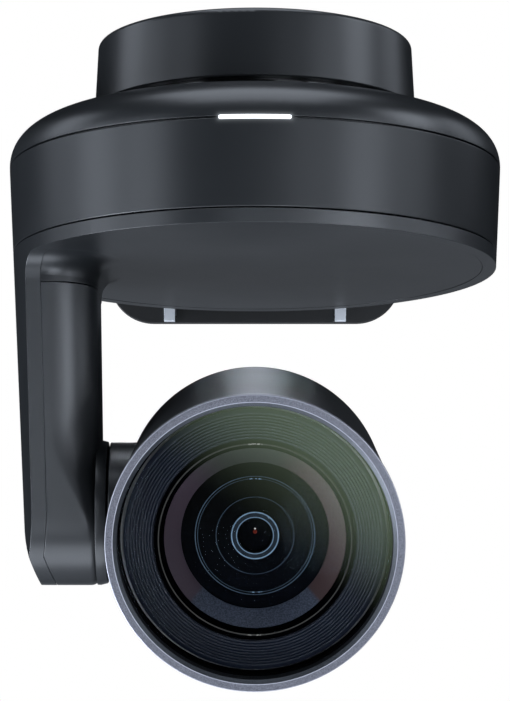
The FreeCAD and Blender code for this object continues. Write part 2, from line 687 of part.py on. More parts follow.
def inside_skin(z_top, depth):
    """The space inside the yoke's outer skin, which wraps the arm's curved end at an even thickness."""
    low = TILT_Z - ARM_END_R - 2
    front = arm_front_face(z_top, -40.0, depth)
    front.translate(V(0, -90, 0))
    return cone(z_top, low, depth).common(front.extrude(V(0, 180, 0)))


def yoke_shell():
    """One moulding: the ring under the drum and the arm's outer skin."""
    ring_top = BAND_END_Z - PAN_GAP
    rim = cone(ring_top, DISC_Z).cut(cone(ring_top + 1, DISC_Z - 1, RIM))
    low = TILT_Z - ARM_END_R - 1
    band = block(-90, 0, -90, 90, DISC_Z, ring_top)
    side = joined(arm_side_face(ring_top, 0.0, -90).extrude(V(90, 0, 0)), band)
    inner_corners = [
        e for e in side.Edges
        if abs(e.tangentAt(e.FirstParameter).x) > 0.99
        and abs(e.CenterOfMass.z - DISC_Z) < 0.01
        and abs(abs(e.CenterOfMass.y) - arm_half_depth(DISC_Z)) < 0.2
    ]
    side = side.makeFillet(YOKE_CORNER, inner_corners)
    front = arm_front_face(ring_top)
    front.translate(V(0, -90, 0))
    limits = side.common(front.extrude(V(0, 180, 0)))
    skin = cone(ring_top, low).cut(inside_skin(ring_top + 1, RIM))
    shell = joined(rim, skin.common(limits))
    return solid_of(shell)


def arm_block(z_top, inset=0.0):
    """The arm's envelope with its two inner edges rounded."""
    envelope = arm_limits(z_top, inset)
    rounded = [
        e for e in envelope.Edges
        if e.Length > 5 and all(
            v.Point.x > ARM_IN_TOP_X - inset - 0.6 for v in e.Vertexes)
        and abs(e.tangentAt(e.FirstParameter).y) < 0.9999 and abs(e.CenterOfMass.z - z_top) > 0.5
        and e.BoundBox.ZLength > 1
    ]
    return envelope.makeFillet(ARM_ROUND - inset, rounded)


def arm_column(z_top, inset=0.0):
    """The part of the arm inside the yoke shell's rim."""
    return arm_block(z_top, inset).common(inside_skin(z_top + 1, RIM + SHADOW_GAP + inset))


def arm_cover():
    outer = arm_column(ARM_SEAM_Z - 0.15)
    boss_r, boss_length = ARM_END_R - 0.02, 16.0
    boss = cyl(boss_r, boss_length, V(ARM_IN_LOW_X - boss_length, 0, TILT_Z), X_AXIS)
    boss = boss.common(inside_skin(ARM_SEAM_Z, RIM + SHADOW_GAP))
    lip = Part.makeCone(boss_r, HUB_R + 0.2, BOSS_FACE_X - ARM_IN_LOW_X,
                        V(ARM_IN_LOW_X, 0, TILT_Z), X_AXIS)
    hollow = arm_column(ARM_SEAM_Z + 1, 2.0)
    hollow_end = cyl(ARM_END_R - 2.0, 30, V(-78, 0, TILT_Z), X_AXIS)
    cover = joined(outer, boss, lip).cut(hollow).cut(hollow_end)
    return cover.cut(cyl(10.2, 30, V(-70, 0, TILT_Z), X_AXIS))


def turntable_plate():
    """The flat disc with the arm's root moulded on and blended in."""
    under = DISC_Z + 0.1
    edge_x = -body_radius(END_CURVE_Z) - 10
    slab = block(edge_x, -edge_x, edge_x, -edge_x, under, under + 2.5)
    root = arm_block(under + 1).common(block(edge_x, 0, -60, 60, ARM_SEAM_Z + 0.15, under + 0.5))
    plate = joined(slab, root)
    corner = [
        e for e in plate.Edges
        if e.BoundBox.ZLength < 0.01 and abs(e.BoundBox.ZMax - under) < 0.01
        and edge_x + 0.1 < e.CenterOfMass.x < ARM_IN_TOP_X + 5 and abs(e.CenterOfMass.y) < 40
    ]
    plate = plate.makeFillet(ROOT_FILLET, corner)
    plate = plate.common(cone(under + 3, under - 20, RIM + SHADOW_GAP))
    plate = plate.cut(block(-60, -50, -8, 8, -80, -60))
    for x, y in disc_screw_places():
        plate = plate.cut(cyl(1.2, 1.8, V(x, y, DISC_Z + 0.8)))
    return plate


def disc_screw_places():
    return [(19.0 * math.cos(a), 19.0 * math.sin(a)) for a in (math.radians(45 + 90 * k) for k in range(4))]


def arm_frame():
    """Metal plate in the arm that holds the tilt motor and the tilt bush."""
    x0, t = -57.8, 1.6
    side = arm_side_face(-84.0, 2.1, x0).extrude(V(t, 0, 0)).common(arm_block(-80.0, 2.1))
    boss = cyl(12.0, 8.4, V(x0, 0, TILT_Z), X_AXIS)
    frame = joined(side, boss).cut(cyl(10.0 + TOUCH, 20, V(x0 - 2, 0, TILT_Z), X_AXIS))
    frame = frame.cut(cyl(3.2, 4, V(x0 - 1, 0, TILT_MOTOR_Z), X_AXIS))
    for y in TILT_MOTOR_SCREWS_Y:
        frame = frame.cut(cyl(1.3, 4, V(x0 - 1, y, TILT_MOTOR_Z), X_AXIS))
    return frame.cut(block(x0 - 1, x0 + 3, -7, 7, -106, -90))


def tilt_bush():
    sleeve = ring(10.0, SHAFT_R + RUN, 11.1, V(-57.9, 0, TILT_Z), X_AXIS)
    flange = ring(11.5, SHAFT_R + RUN, 0.93, V(-58.75, 0, TILT_Z), X_AXIS)
    return joined(sleeve, flange)


def tilt_motor():
    can = cyl(10.2, 6.0, V(-56.2, 0, TILT_MOTOR_Z), X_AXIS)
    ears = block(-56.2, -55.2, -16.5, 16.5, TILT_MOTOR_Z - 2.5, TILT_MOTOR_Z + 2.5)
    nose = cyl(3.0, 1.6, V(-57.8, 0, TILT_MOTOR_Z), X_AXIS)
    motor = joined(can, ears, nose)
    for y in TILT_MOTOR_SCREWS_Y:
        motor = motor.cut(cyl(1.3, 4, V(-57.8, y, TILT_MOTOR_Z), X_AXIS))
    return motor.cut(cyl(TILT_MOTOR_SHAFT_R + RUN, 6.5, V(-58, 0, TILT_MOTOR_Z), X_AXIS))


def motor_screws():
    return Part.makeCompound([
        screw(SCREW_SIZE, 2.8, 2.0, 1.0, V(-54.2, y, TILT_MOTOR_Z), V(-1, 0, 0)) for y in TILT_MOTOR_SCREWS_Y
    ])


def along_x(shape, x):
    """Turns a gear made about Z so that it spins about +X, its first tooth along +Z, at the tilt axis."""
    shape.rotate(ORIGIN, Y_AXIS, 90)
    shape.translate(V(x, 0, TILT_Z))
    return shape


def tilt_pinion():
    teeth = gear(TILT_PINION_TEETH, TILT_MODULE, GEAR_W - 0.4)
    teeth = seat_pinion(teeth, TILT_PINION_TEETH, 0)
    shape = along_x(teeth, TILT_GEAR_X + 0.2)
    shaft = cyl(TILT_MOTOR_SHAFT_R, 9.5, V(TILT_GEAR_X + 1, 0, TILT_Z), X_AXIS)
    pinion = joined(shape, shaft)
    pinion.translate(V(0, 0, TILT_CENTRES))
    return pinion


def signal_cable():
    """Flat run from the spindle, under the gear and down the arm."""
    r = 1.1
    points = [V(-9, 0, -52), V(-9, 0, -66.75), V(-55.0, 0, -66.75), V(-55.0, 0, -103)]
    pieces = [cyl(r, a.distanceToPoint(b), a, b - a) for a, b in zip(points, points[1:])]
    knees = [Part.makeSphere(r, p) for p in points[1:-1]]
    return joined(*pieces, *knees)


# ---------------------------------------------------------------- head, in its own frame
def place_head(shape):
    """Head frame: origin on the tilt axis, +Z out of the lens, +Y up, +X as the row's."""
    shape.rotate(ORIGIN, X_AXIS, 90 + REST_TILT)
    shape.translate(V(0, 0, TILT_Z))
    return shape


def barrel_radius(z):
    share = (z - CAP_SEAM) / (HEAD_FRONT - 3.7 - CAP_SEAM)
    return BARREL_BACK_R + share * (BARREL_FRONT_R - BARREL_BACK_R)


def barrel_outline(extra):
    """Solid form of the barrel, used to cut things flush with it."""
    front = HEAD_FRONT - 3.9
    return turned([
        (0, CAP_SEAM), (barrel_radius(CAP_SEAM) + extra, CAP_SEAM),
        (barrel_radius(front) + extra, front), (0, front),
    ])


def head_barrel():
    """Tapered barrel with the short neck that reaches to the arm."""
    front = HEAD_FRONT - 3.9
    wall = 2.0
    neck = cyl(HUB_R, 8.0, V(HUB_X, 0, 0), X_AXIS)
    rim = [e for e in neck.Edges if abs(e.CenterOfMass.x - HUB_X) < 0.01]
    neck = neck.makeFillet(0.4, rim)
    solid = joined(neck, turned([
        (0, CAP_SEAM), (barrel_radius(CAP_SEAM) - 0.2, CAP_SEAM),
        (barrel_radius(CAP_SEAM), CAP_SEAM + 0.2),
        (barrel_radius(front), front - 0.2), (barrel_radius(front) - 0.2, front), (0, front),
    ]))
    shell = solid.cut(barrel_outline(-wall))
    return place_head(shell.cut(cyl(SHAFT_R + 0.3, 20, V(-50, 0, 0), X_AXIS)))


def rear_cap():
    seam, back, r = CAP_SEAM - 0.25, HEAD_BACK, barrel_radius(CAP_SEAM)
    k = 1 - math.sqrt(0.5)
    return place_head(turned([
        (0, back), (r - CAP_ROUND, back),
        (r, back + CAP_ROUND, (r - CAP_ROUND * k, back + CAP_ROUND * k)),
        (r, seam), (r - 2.2, seam), (r - 2.2, back + CAP_ROUND),
        (r - CAP_ROUND, back + 2.2, (r - 2.2 - (CAP_ROUND - 2.2) * k, back + 2.2 + (CAP_ROUND - 2.2) * k)),
        (0, back + 2.2),
    ]))


def tilt_shaft():
    end_x = TILT_GEAR_X - 0.5
    shaft = cyl(SHAFT_R, -35.0 - end_x, V(end_x, 0, 0), X_AXIS)
    flange = cyl(12.4, 2.3, V(-37.3, 0, 0), X_AXIS)
    shoulder = cyl(8.2, 3.0, V(-40.6, 0, 0), X_AXIS)
    return place_head(joined(shaft, flange, shoulder).cut(cyl(5.0, 60, V(-70, 0, 0), X_AXIS)))


def tilt_gear():
    wheel = gear(TILT_GEAR_TEETH, TILT_MODULE, GEAR_W - 0.8)
    wheel = wheel.cut(cyl(SHAFT_R + TOUCH, GEAR_W))
    for hole in around(cyl(2.4, GEAR_W, V(12.0, 0, 0)), 5, 36):
        wheel = wheel.cut(hole)
    wheel.rotate(ORIGIN, Z_AXIS, 180)
    return along_x(wheel, TILT_GEAR_X + 0.2)


def lens_frame():
    """Cast frame: carries the lens unit on the tilt shaft and stiffens the barrel."""
    plate = ring(40.2, TUBE_R + TOUCH, 3.0, V(0, 0, TUBE_FRONT - 3.0))
    rear = ring(38.8, TUBE_R + TOUCH, 2.5, V(0, 0, -24.0))
    spine = block(-35.0, -28.0, -9.0, 9.0, -24.0, TUBE_FRONT)
    spine = spine.cut(cyl(TUBE_R + TOUCH, 80, V(0, 0, -40)))
    seat = cyl(13.2, 2.2, V(-35.0, 0, 0), X_AXIS)
    frame = joined(plate, rear, spine, seat).cut(cyl(5.0, 30, V(-50, 0, 0), X_AXIS))
    for opening in around(cyl(4.2, 4.0, V(0, 32.2, TUBE_FRONT - 3.5)), 6, 30):
        frame = frame.cut(opening)
    return place_head(frame.cut(cyl(TUBE_R + TOUCH, 80, V(0, 0, -40))))


def bezel_ring():
    f = HEAD_FRONT
    face_in = BEZEL_R - BEZEL_FACE
    return place_head(turned([
        (BEZEL_R - 0.35, f), (BEZEL_R, f - 0.35), (BEZEL_R, f - 3.5), (BEZEL_R - 0.3, f - 3.8),
        (BARREL_FRONT_R - 2.2, f - 3.8), (BARREL_FRONT_R - 2.2, f - 11.2), (39.2, f - 11.2),
        (39.2, f - 5.9), (39.9, f - 5.9), (39.9, f - 1.2), (face_in, f - 0.1), (face_in + 0.15, f),
    ]))


def front_window():
    r = 39.9 - TOUCH
    return place_head(turned([
        (0, WINDOW_Z), (r - 0.4, WINDOW_Z), (r, WINDOW_Z - 0.4), (r, WINDOW_Z - 2.0), (0, WINDOW_Z - 2.0),
    ]))


def baffle_ring():
    """Matt, slightly conical ring with fine light-trap ribs round the lens."""
    groove = 0.32
    inner_edge = BAFFLE_IN_R + 1.0
    slope = BAFFLE_DROP / (BAFFLE_OUT_R - inner_edge)

    def surface(r):
        return BAFFLE_Z - slope * (r - inner_edge)

    ribs = []
    for k in range(RIB_COUNT):
        r = inner_edge + RIB_PITCH * k
        ribs += [(r, surface(r) - groove), (r + RIB_PITCH / 2, surface(r + RIB_PITCH / 2))]
    low = BAFFLE_Z - 3.2
    outline = [(BAFFLE_IN_R, BAFFLE_Z - groove)] + ribs + [
        (BAFFLE_OUT_R - 0.3, surface(BAFFLE_OUT_R)), (BAFFLE_OUT_R, surface(BAFFLE_OUT_R) - 0.3),
        (BAFFLE_OUT_R, low + 0.9), (BAFFLE_FLANGE_R, low + 0.9), (BAFFLE_FLANGE_R, low), (BAFFLE_IN_R, low),
    ]
    return place_head(turned(outline))


def lens_hood():
    """Nose of the lens: polished lip, dark step, sloping frosted ring and the front element's stop."""
    top, outer = BAFFLE_Z - 0.4, BAFFLE_IN_R - 0.05
    return place_head(turned([
        (outer, top - 0.35), (outer - 0.35, top), (HOOD_LIP_R, top), (HOOD_LIP_R - 0.2, top - 0.2),
        (HOOD_OUT_R + 0.2, HOOD_FACE_Z), (HOOD_OUT_R, HOOD_FACE_Z), (FRONT_LENS_R, FRONT_LENS_Z),
        (FRONT_LENS_R, TUBE_FRONT + 0.02), (outer, TUBE_FRONT + 0.02),
    ]))


def lens_tube():
    bore = TUBE_R - TUBE_WALL
    tube = ring(TUBE_R, bore, TUBE_FRONT - TUBE_BACK, V(0, 0, TUBE_BACK))
    floor = ring(bore, 8.0, 1.6, V(0, 0, TUBE_BACK))
    step = ring(bore, STEP_R, FRONT_SEAT_Z - STEP_Z, V(0, 0, STEP_Z))
    tube = joined(tube, floor, step)
    rod_length = STEP_Z + 1.8 - (TUBE_BACK + 0.8)
    for x in (-ROD_PITCH_R, ROD_PITCH_R):
        tube = tube.cut(cyl(ROD_R + TOUCH, rod_length, V(x, 0, TUBE_BACK + 0.8)))
    return place_head(tube)


def lens_disc(r, z, edge_thickness, bulge):
    """A lens with a flat back and a spherical front that stands out by the bulge."""
    edge_z = z + edge_thickness
    curve_radius = (r * r + bulge * bulge) / (2 * bulge)
    centre_z = edge_z + bulge - curve_radius
    half = 0.5 * math.asin(r / curve_radius)
    middle = (curve_radius * math.sin(half), centre_z + curve_radius * math.cos(half))
    return turned([(0, z), (r, z), (r, edge_z), (0, edge_z + bulge, middle)])


def front_element():
    return place_head(lens_disc(TUBE_R - TUBE_WALL - TOUCH, FRONT_SEAT_Z, 2.4, 4.2))


def fixed_element():
    return place_head(lens_disc(STEP_R - TOUCH, STEP_Z + 0.4, 2.2, 2.6))


def carrier(z, motor_y):
    """A lens carrier that slides on two rods and is pushed by its own screw."""
    body = ring(CARRIER_R, CARRIER_BORE_R, CARRIER_T, V(0, 0, z))
    sleeve = cyl(2.4, 7.0, V(-ROD_PITCH_R, 0, z)).common(cyl(CARRIER_R, 40, V(0, 0, z)))
    body = joined(body, sleeve)
    for x in (-ROD_PITCH_R, ROD_PITCH_R):
        body = body.cut(cyl(ROD_R + RUN, 30, V(x, 0, z - 10)))
    for y in (-ROD_PITCH_R, ROD_PITCH_R):
        clear = SCREW_R + RUN if y * motor_y > 0 else 3.9
        body = body.cut(cyl(clear, 30, V(0, y, z - 10)))
    return body


def zoom_carrier():
    return place_head(carrier(ZOOM_Z, 1))


def zoom_lens():
    return place_head(lens_disc(CARRIER_BORE_R - TOUCH, ZOOM_Z + 0.4, 2.0, 1.6))


def focus_carrier():
    return place_head(carrier(FOCUS_Z, -1))


def focus_lens():
    return place_head(lens_disc(CARRIER_BORE_R - TOUCH, FOCUS_Z + 0.4, 2.0, 1.4))


def guide_rods():
    return place_head(Part.makeCompound(
        [cyl(ROD_R, STEP_Z - TUBE_BACK + 0.7, V(x, 0, TUBE_BACK + 0.9)) for x in (-ROD_PITCH_R, ROD_PITCH_R)]))


def lead_screw(y, z0, z1):
    """Drive screw of one lens group, with a small journal at the motor's end."""
    rod = cyl(SCREW_R, z1 - z0, V(0, y, z0))
    journal = cyl(2.0, 0.8, V(0, y, (z0 if y > 0 else z1 - 0.8)))
    return joined(rod, journal)


def zoom_screw():
    return place_head(lead_screw(ROD_PITCH_R, TUBE_BACK + 9.4, STEP_Z - 0.6))


def focus_screw():
    return place_head(lead_screw(-ROD_PITCH_R, TUBE_BACK + 2.0, STEP_Z - 7.6))


def lens_motors():
    """Two equal stepper motors: one behind for the zoom screw, one in front for the focus screw."""
    low = TUBE_BACK + 1.6 + TOUCH
    high = STEP_Z - TOUCH - 7.0
    return place_head(Part.makeCompound([
        cyl(3.4, 7.0, V(0, ROD_PITCH_R, low)), cyl(3.4, 7.0, V(0, -ROD_PITCH_R, high)),
    ]))


def iris_unit():
    unit = ring(TUBE_R - TUBE_WALL - TOUCH, 6.0, 2.0, V(0, 0, -3.6))
    for x in (-ROD_PITCH_R, ROD_PITCH_R):
        unit = unit.cut(cyl(2.7, 3, V(x, 0, -4)))
    for y in (-ROD_PITCH_R, ROD_PITCH_R):
        unit = unit.cut(cyl(1.9, 3, V(0, y, -4)))
    return place_head(unit)


def sensor_board():
    board = block(-17, 17, -17, 17, -23.4, -21.9)
    chip = block(-6.0, 6.0, -5.0, 5.0, -21.9, -20.2)
    connector = block(-10, 10, -15.5, -12.5, -25.4, -23.4)
    return place_head(joined(board, chip, connector).common(cyl(22.0, 20, V(0, 0, -30))))


# ---------------------------------------------------------------- export
NODES = [
    wall_bracket, wall_hook_plate, bracket_screw, foot_shell, foot_pad, foot_plate, base_screws,
    port_panel, power_jack, usb_c_socket, hdmi_socket, control_socket, pairing_button, io_board,
    neck_ring, upper_shell, light_bar, led_board, band_shell, base_chassis, main_board,
    pan_bearing_outer, pan_bearing_inner, pan_bearing_balls, ball_cage, pan_spindle, pan_gear,
    pan_motor, pan_pinion, yoke_shell, turntable_plate, arm_cover, arm_frame, tilt_bush,
    tilt_motor, motor_screws, tilt_pinion, signal_cable, head_barrel, rear_cap, tilt_shaft,
    tilt_gear, lens_frame, bezel_ring, front_window, baffle_ring, lens_hood, lens_tube,
    front_element, fixed_element, zoom_carrier, zoom_lens, focus_carrier, focus_lens,
    guide_rods, zoom_screw, focus_screw, lens_motors, iris_unit, sensor_board,
]


def export_all():
    os.makedirs("parts", exist_ok=True)
    for build in NODES:
        shape = build()
        shape.translate(V(0, -WALL_FACE_Y, -WALL_HOLES_MID_Z))
        shape.exportStep("parts/" + build.__name__ + ".step")
        print(build.__name__, len(shape.Solids), round(shape.Volume / 1000, 2), shape.isValid())


export_all()
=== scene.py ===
"""Looks of the hanging pan and tilt camera: arm cover, lens, materials, lights, floor and camera.

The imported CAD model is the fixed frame. Everything is in metres in the row frame: +Z up, -Y to the
front, +X to the viewer's right. Turned pieces are drawn as outlines of (radius, height) in
millimetres, either in the drum's frame (z = 0 on the foot's mounting face, axis = pan axis) or in
the head's frame (origin on the tilt axis, +Z out of the lens, +X as the row's).
"""
import json
import math

import bmesh
import bpy
from mathutils import Matrix, Vector


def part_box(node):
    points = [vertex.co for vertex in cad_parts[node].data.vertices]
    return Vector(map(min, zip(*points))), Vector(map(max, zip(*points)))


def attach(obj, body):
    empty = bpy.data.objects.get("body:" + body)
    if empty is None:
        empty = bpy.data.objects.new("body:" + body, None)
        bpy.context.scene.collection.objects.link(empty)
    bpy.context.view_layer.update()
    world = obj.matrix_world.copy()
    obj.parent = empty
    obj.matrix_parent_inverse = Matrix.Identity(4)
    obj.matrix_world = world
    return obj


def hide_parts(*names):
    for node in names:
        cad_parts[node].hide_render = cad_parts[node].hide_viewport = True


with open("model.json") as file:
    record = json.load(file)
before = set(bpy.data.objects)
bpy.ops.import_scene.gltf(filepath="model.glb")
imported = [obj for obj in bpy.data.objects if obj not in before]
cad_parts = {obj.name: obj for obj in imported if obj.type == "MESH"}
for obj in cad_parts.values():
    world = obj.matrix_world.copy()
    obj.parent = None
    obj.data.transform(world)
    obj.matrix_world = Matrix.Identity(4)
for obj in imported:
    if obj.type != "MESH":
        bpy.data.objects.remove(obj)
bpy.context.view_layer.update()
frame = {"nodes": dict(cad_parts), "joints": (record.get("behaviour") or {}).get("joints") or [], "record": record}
nodes = frame["nodes"]
joints = {joint["name"]: joint for joint in frame["joints"]}
slot_of = {part["node"]: part["material_slot"] for part in frame["record"]["subparts"]}

# ---------------------------------------------------------------- places taken from the frame
MM = 0.001
PAN = Vector(joints["pan"]["pos_m"])
TILT = Vector(joints["tilt"]["pos_m"])
LENS_AXIS = Vector(joints["zoom_slide"]["axis"])
FOOT_FACE_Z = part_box("foot_shell")[1].z

DRUM_PLACE = Matrix.Translation((PAN.x, PAN.y, FOOT_FACE_Z)) @ Matrix.Scale(MM, 4)
HEAD_TURN = Matrix.Rotation(LENS_AXIS.angle(Vector((0, 0, 1))), 4, "X")
HEAD_PLACE = Matrix.Translation((PAN.x, TILT.y, TILT.z)) @ HEAD_TURN @ Matrix.Scale(MM, 4)


# ---------------------------------------------------------------- lens, in the head's frame
FACE_Z = 58.0
BEZEL_R, CHAMFER_OUT_R, CHAMFER_IN_R, CHAMFER_DEPTH = 43.4, 41.05, 39.9, 0.9
WINDOW_R, WINDOW_Z = 39.85, 54.2
BAFFLE_OUT_R, BAFFLE_IN_R = 38.3, 29.2
BAFFLE_OUT_Z, BAFFLE_IN_Z = 50.2, 51.2
RIB_COUNT, RIB_PITCH, RIB_DEPTH = 9, 0.86, 0.35
LIP_R, LIP_Z = 28.2, 50.8
FROST_OUT_R, FROST_OUT_Z = 26.7, 48.0
FROST_IN_R, FROST_IN_Z = 21.7, 43.0
GLASS_R, GLASS_EDGE_Z, GLASS_BULGE = 22.5, 42.2, 4.2
CORE_Z = 43.0
# the glints are painted highlights, made by light emission in the ring's material
TIP_HALF = 0.0025  # metres either side of the middle where a ring glints at its top and bottom


# ---------------------------------------------------------------- lit strip at the front of the drum
# place and half size in metres; reach of its painted glow on the shell in millimetres
bar_low, bar_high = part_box("light_bar")
BAR_Z = (bar_low.z + bar_high.z) / 2
BAR_END_GAP = 0.0002
BAR_HALF_X = (bar_high.x - bar_low.x) / 2 - BAR_END_GAP
BAR_HALF_Z = 0.00045
HALO_REACH, HALO_LEVEL = 0.42, 0.30


# ---------------------------------------------------------------- mesh helpers
ARC_STEPS = 5


def rounded(outline):
    """Turns each (radius, height, round) corner of a closed outline into an arc."""
    points = []
    for k, corner in enumerate(outline):
        here = Vector(corner[:2])
        if len(corner) == 2:
            points.append(here)
            continue
        before = (Vector(outline[k - 1][:2]) - here).normalized()
        after = (Vector(outline[(k + 1) % len(outline)][:2]) - here).normalized()
        half = before.angle(after) / 2
        reach = corner[2] / math.tan(half)
        centre = here + (before + after).normalized() * corner[2] / math.sin(half)
        first, last = here + before * reach - centre, here + after * reach - centre
        for step in range(ARC_STEPS + 1):
            share = step / ARC_STEPS
            points.append(centre + (first * (1 - share) + last * share).normalized() * corner[2])
    return points


def new_object(name, mesh, material, smooth_below=35.0):
    """Puts a mesh in the scene, smooth except where its faces meet at more than the given angle."""
    obj = bpy.data.objects.new(name, mesh)
    bpy.context.scene.collection.objects.link(obj)
    mesh.materials.clear()
    mesh.materials.append(material)
    mesh.polygons.foreach_set("use_smooth", [True] * len(mesh.polygons))
    mesh.set_sharp_from_angle(angle=math.radians(smooth_below))
    mesh.update()
    return obj


def lathe(name, outline, place, material, sides=192):
    """A closed solid of revolution from a closed outline."""
    points = rounded(outline)
    mesh = bpy.data.meshes.new(name)
    bm = bmesh.new()
    rings = []
    for radius, height in points:
        if radius < 1e-6:
            rings.append([bm.verts.new((0, 0, height))] * sides)
            continue
        turns = [2 * math.pi * k / sides for k in range(sides)]
        rings.append([bm.verts.new((radius * math.cos(a), radius * math.sin(a), height)) for a in turns])
    for ring, following in zip(rings, rings[1:] + rings[:1]):
        if ring[0] is ring[1] and following[0] is following[1]:
            continue
        for k in range(sides):
            corners = [ring[k], following[k], following[(k + 1) % sides], ring[(k + 1) % sides]]
            unique = list(dict.fromkeys(corners))
            bm.faces.new(unique)
    bmesh.ops.recalc_face_normals(bm, faces=bm.faces)
    bm.to_mesh(mesh)
    bm.free()
    mesh.transform(place)
    return new_object(name, mesh, material)


def stands_for(obj, body, *names):
    """Puts a piece on its body in place of the CAD nodes it stands for."""
    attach(obj, body)
    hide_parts(*names)
    return obj


# ---------------------------------------------------------------- node helpers
class Shader:
    """A material's node tree, with short calls for the nodes it uses."""

    def __init__(self, name):
        self.material = bpy.data.materials.new(name)
        self.material.use_nodes = True
        self.tree = self.material.node_tree
        self.tree.nodes.clear()
        self.output = self.tree.nodes.new("ShaderNodeOutputMaterial")

    def node(self, kind, inputs=None, **settings):
        """Adds a node; inputs are values or sockets, settings are the node's own properties."""
        made = self.tree.nodes.new(kind)
        for key, value in settings.items():
            setattr(made, key, value)
        for key, value in (inputs or {}).items():
            self.feed(made.inputs[key], value)
        return made

    def feed(self, socket, value):
        if isinstance(value, bpy.types.NodeSocket):
            self.tree.links.new(value, socket)
        else:
            socket.default_value = value

    def place(self):
        return self.node("ShaderNodeTexCoord").outputs["Object"]

    def noise(self, scale, detail=2.0, roughness=0.5, vector=None):
        made = self.node("ShaderNodeTexNoise", {"Vector": vector or self.place(), "Scale": scale,
                                                "Detail": detail, "Roughness": roughness})
        return made.outputs["Fac"]

    def spread(self, value, low, high, low_to=0.0, high_to=1.0, smooth=False):
        """Maps low..high onto low_to..high_to and holds the ends."""
        made = self.node("ShaderNodeMapRange", {"Value": value, "From Min": low, "From Max": high,
                                                "To Min": low_to, "To Max": high_to})
        made.interpolation_type = "SMOOTHSTEP" if smooth else "LINEAR"
        return made.outputs["Result"]

    def math(self, operation, a, b=0.0):
        return self.node("ShaderNodeMath", {0: a, 1: b}, operation=operation).outputs[0]

    def mix(self, share, a, b):
        """Colour between a (share 0) and b (share 1)."""
        made = self.node("ShaderNodeMix", data_type="RGBA")
        self.feed(made.inputs[0], share)
        self.feed(made.inputs[6], a)
        self.feed(made.inputs[7], b)
        return made.outputs[2]

    def blend(self, share, a, b):
        """Surface between a (share 0) and b (share 1)."""
        return self.node("ShaderNodeMixShader", {0: share, 1: a, 2: b}).outputs[0]

    def bump(self, height, distance, strength=1.0, normal=None):
        inputs = {"Height": height, "Distance": distance, "Strength": strength}
        if normal is not None:
            inputs["Normal"] = normal
        return self.node("ShaderNodeBump", inputs).outputs["Normal"]

    def edge_normal(self, radius):
        return self.node("ShaderNodeBevel", {"Radius": radius}, samples=6).outputs["Normal"]

    def edge_share(self, radius, low=0.02, high=0.25):
        """1 on sharp edges, 0 on flat stretches."""
        soft = self.edge_normal(radius)
        hard = self.node("ShaderNodeNewGeometry").outputs["Normal"]
        compare = self.node("ShaderNodeVectorMath", {0: soft, 1: hard}, operation="DOT_PRODUCT")
        return self.spread(self.math("SUBTRACT", 1.0, compare.outputs["Value"]), low, high)

    def head_place(self):
        """Position in the head's frame, in metres: x right, y up, z out of the lens."""
        moved = self.node("ShaderNodeMapping", {"Vector": self.place()}, vector_type="TEXTURE")
        moved.inputs["Location"].default_value = (PAN.x, TILT.y, TILT.z)
        moved.inputs["Rotation"].default_value = HEAD_TURN.to_euler()
        return moved.outputs["Vector"]

    def ring_radius(self):
        """Distance from the lens axis, in millimetres, and the head-frame x and y in metres."""
        x, y, z = self.parts(self.head_place())
        square = self.math("ADD", self.math("POWER", x, 2.0), self.math("POWER", y, 2.0))
        return self.math("MULTIPLY", self.math("SQRT", square), 1000.0), x, y

    def parts(self, vector):
        split = self.node("ShaderNodeSeparateXYZ", {"Vector": vector})
        return split.outputs["X"], split.outputs["Y"], split.outputs["Z"]

    def surface(self, socket):
        self.feed(self.output.inputs["Surface"], socket)
        return self.material

    def principled(self, **values):
        names = {"color": "Base Color", "rough": "Roughness", "metal": "Metallic", "normal": "Normal",
                 "coat": "Coat Weight", "ior": "IOR",
                 "level": "Specular IOR Level", "alpha": "Alpha", "glow": "Emission Color",
                 "glow_strength": "Emission Strength"}
        inputs = {names[key]: value for key, value in values.items()}
        return self.node("ShaderNodeBsdfPrincipled", inputs).outputs["BSDF"]


def grey(level, tint=(1.0, 1.0, 1.0)):
    return (level * tint[0], level * tint[1], level * tint[2], 1.0)


# ---------------------------------------------------------------- materials
def shell_plastic():
    """Satin moulded plastic: fine grain, slightly rubbed edges, and a painted glow round the lit strip."""
    level, tint, rough = 0.009, (0.9, 1.0, 1.1), 0.33
    s = Shader("shell_plastic")
    grain = s.noise(5200.0, 3.0, 0.6)
    cloud = s.noise(28.0, 4.0)
    worn = s.math("MULTIPLY", s.edge_share(0.0006, 0.05, 0.5), 0.3)
    color = s.mix(s.spread(cloud, 0.3, 0.7), grey(level * 0.92, tint), grey(level * 1.08, tint))
    color = s.mix(worn, color, grey(level * 2.2, tint))
    roughness = s.math("ADD", s.spread(grain, 0.3, 0.7, rough - 0.03, rough + 0.03),
                       s.spread(cloud, 0.3, 0.7, -0.015, 0.015))
    normal = s.bump(grain, 0.000012, 0.35, s.edge_normal(0.00025))
    distance, front = bar_distance(s)
    # painted light: the shell glows near the lit strip, fading with distance, on the drum's front only
    painted_glow = s.math("EXPONENT", s.math("MULTIPLY", distance, -1.0 / HALO_REACH))
    painted_glow = s.math("MULTIPLY", s.math("MULTIPLY", painted_glow, front), HALO_LEVEL)
    return s.surface(s.principled(color=color, rough=roughness, normal=normal, ior=1.5,
                                  glow=(0.88, 0.95, 1.0, 1.0), glow_strength=painted_glow))


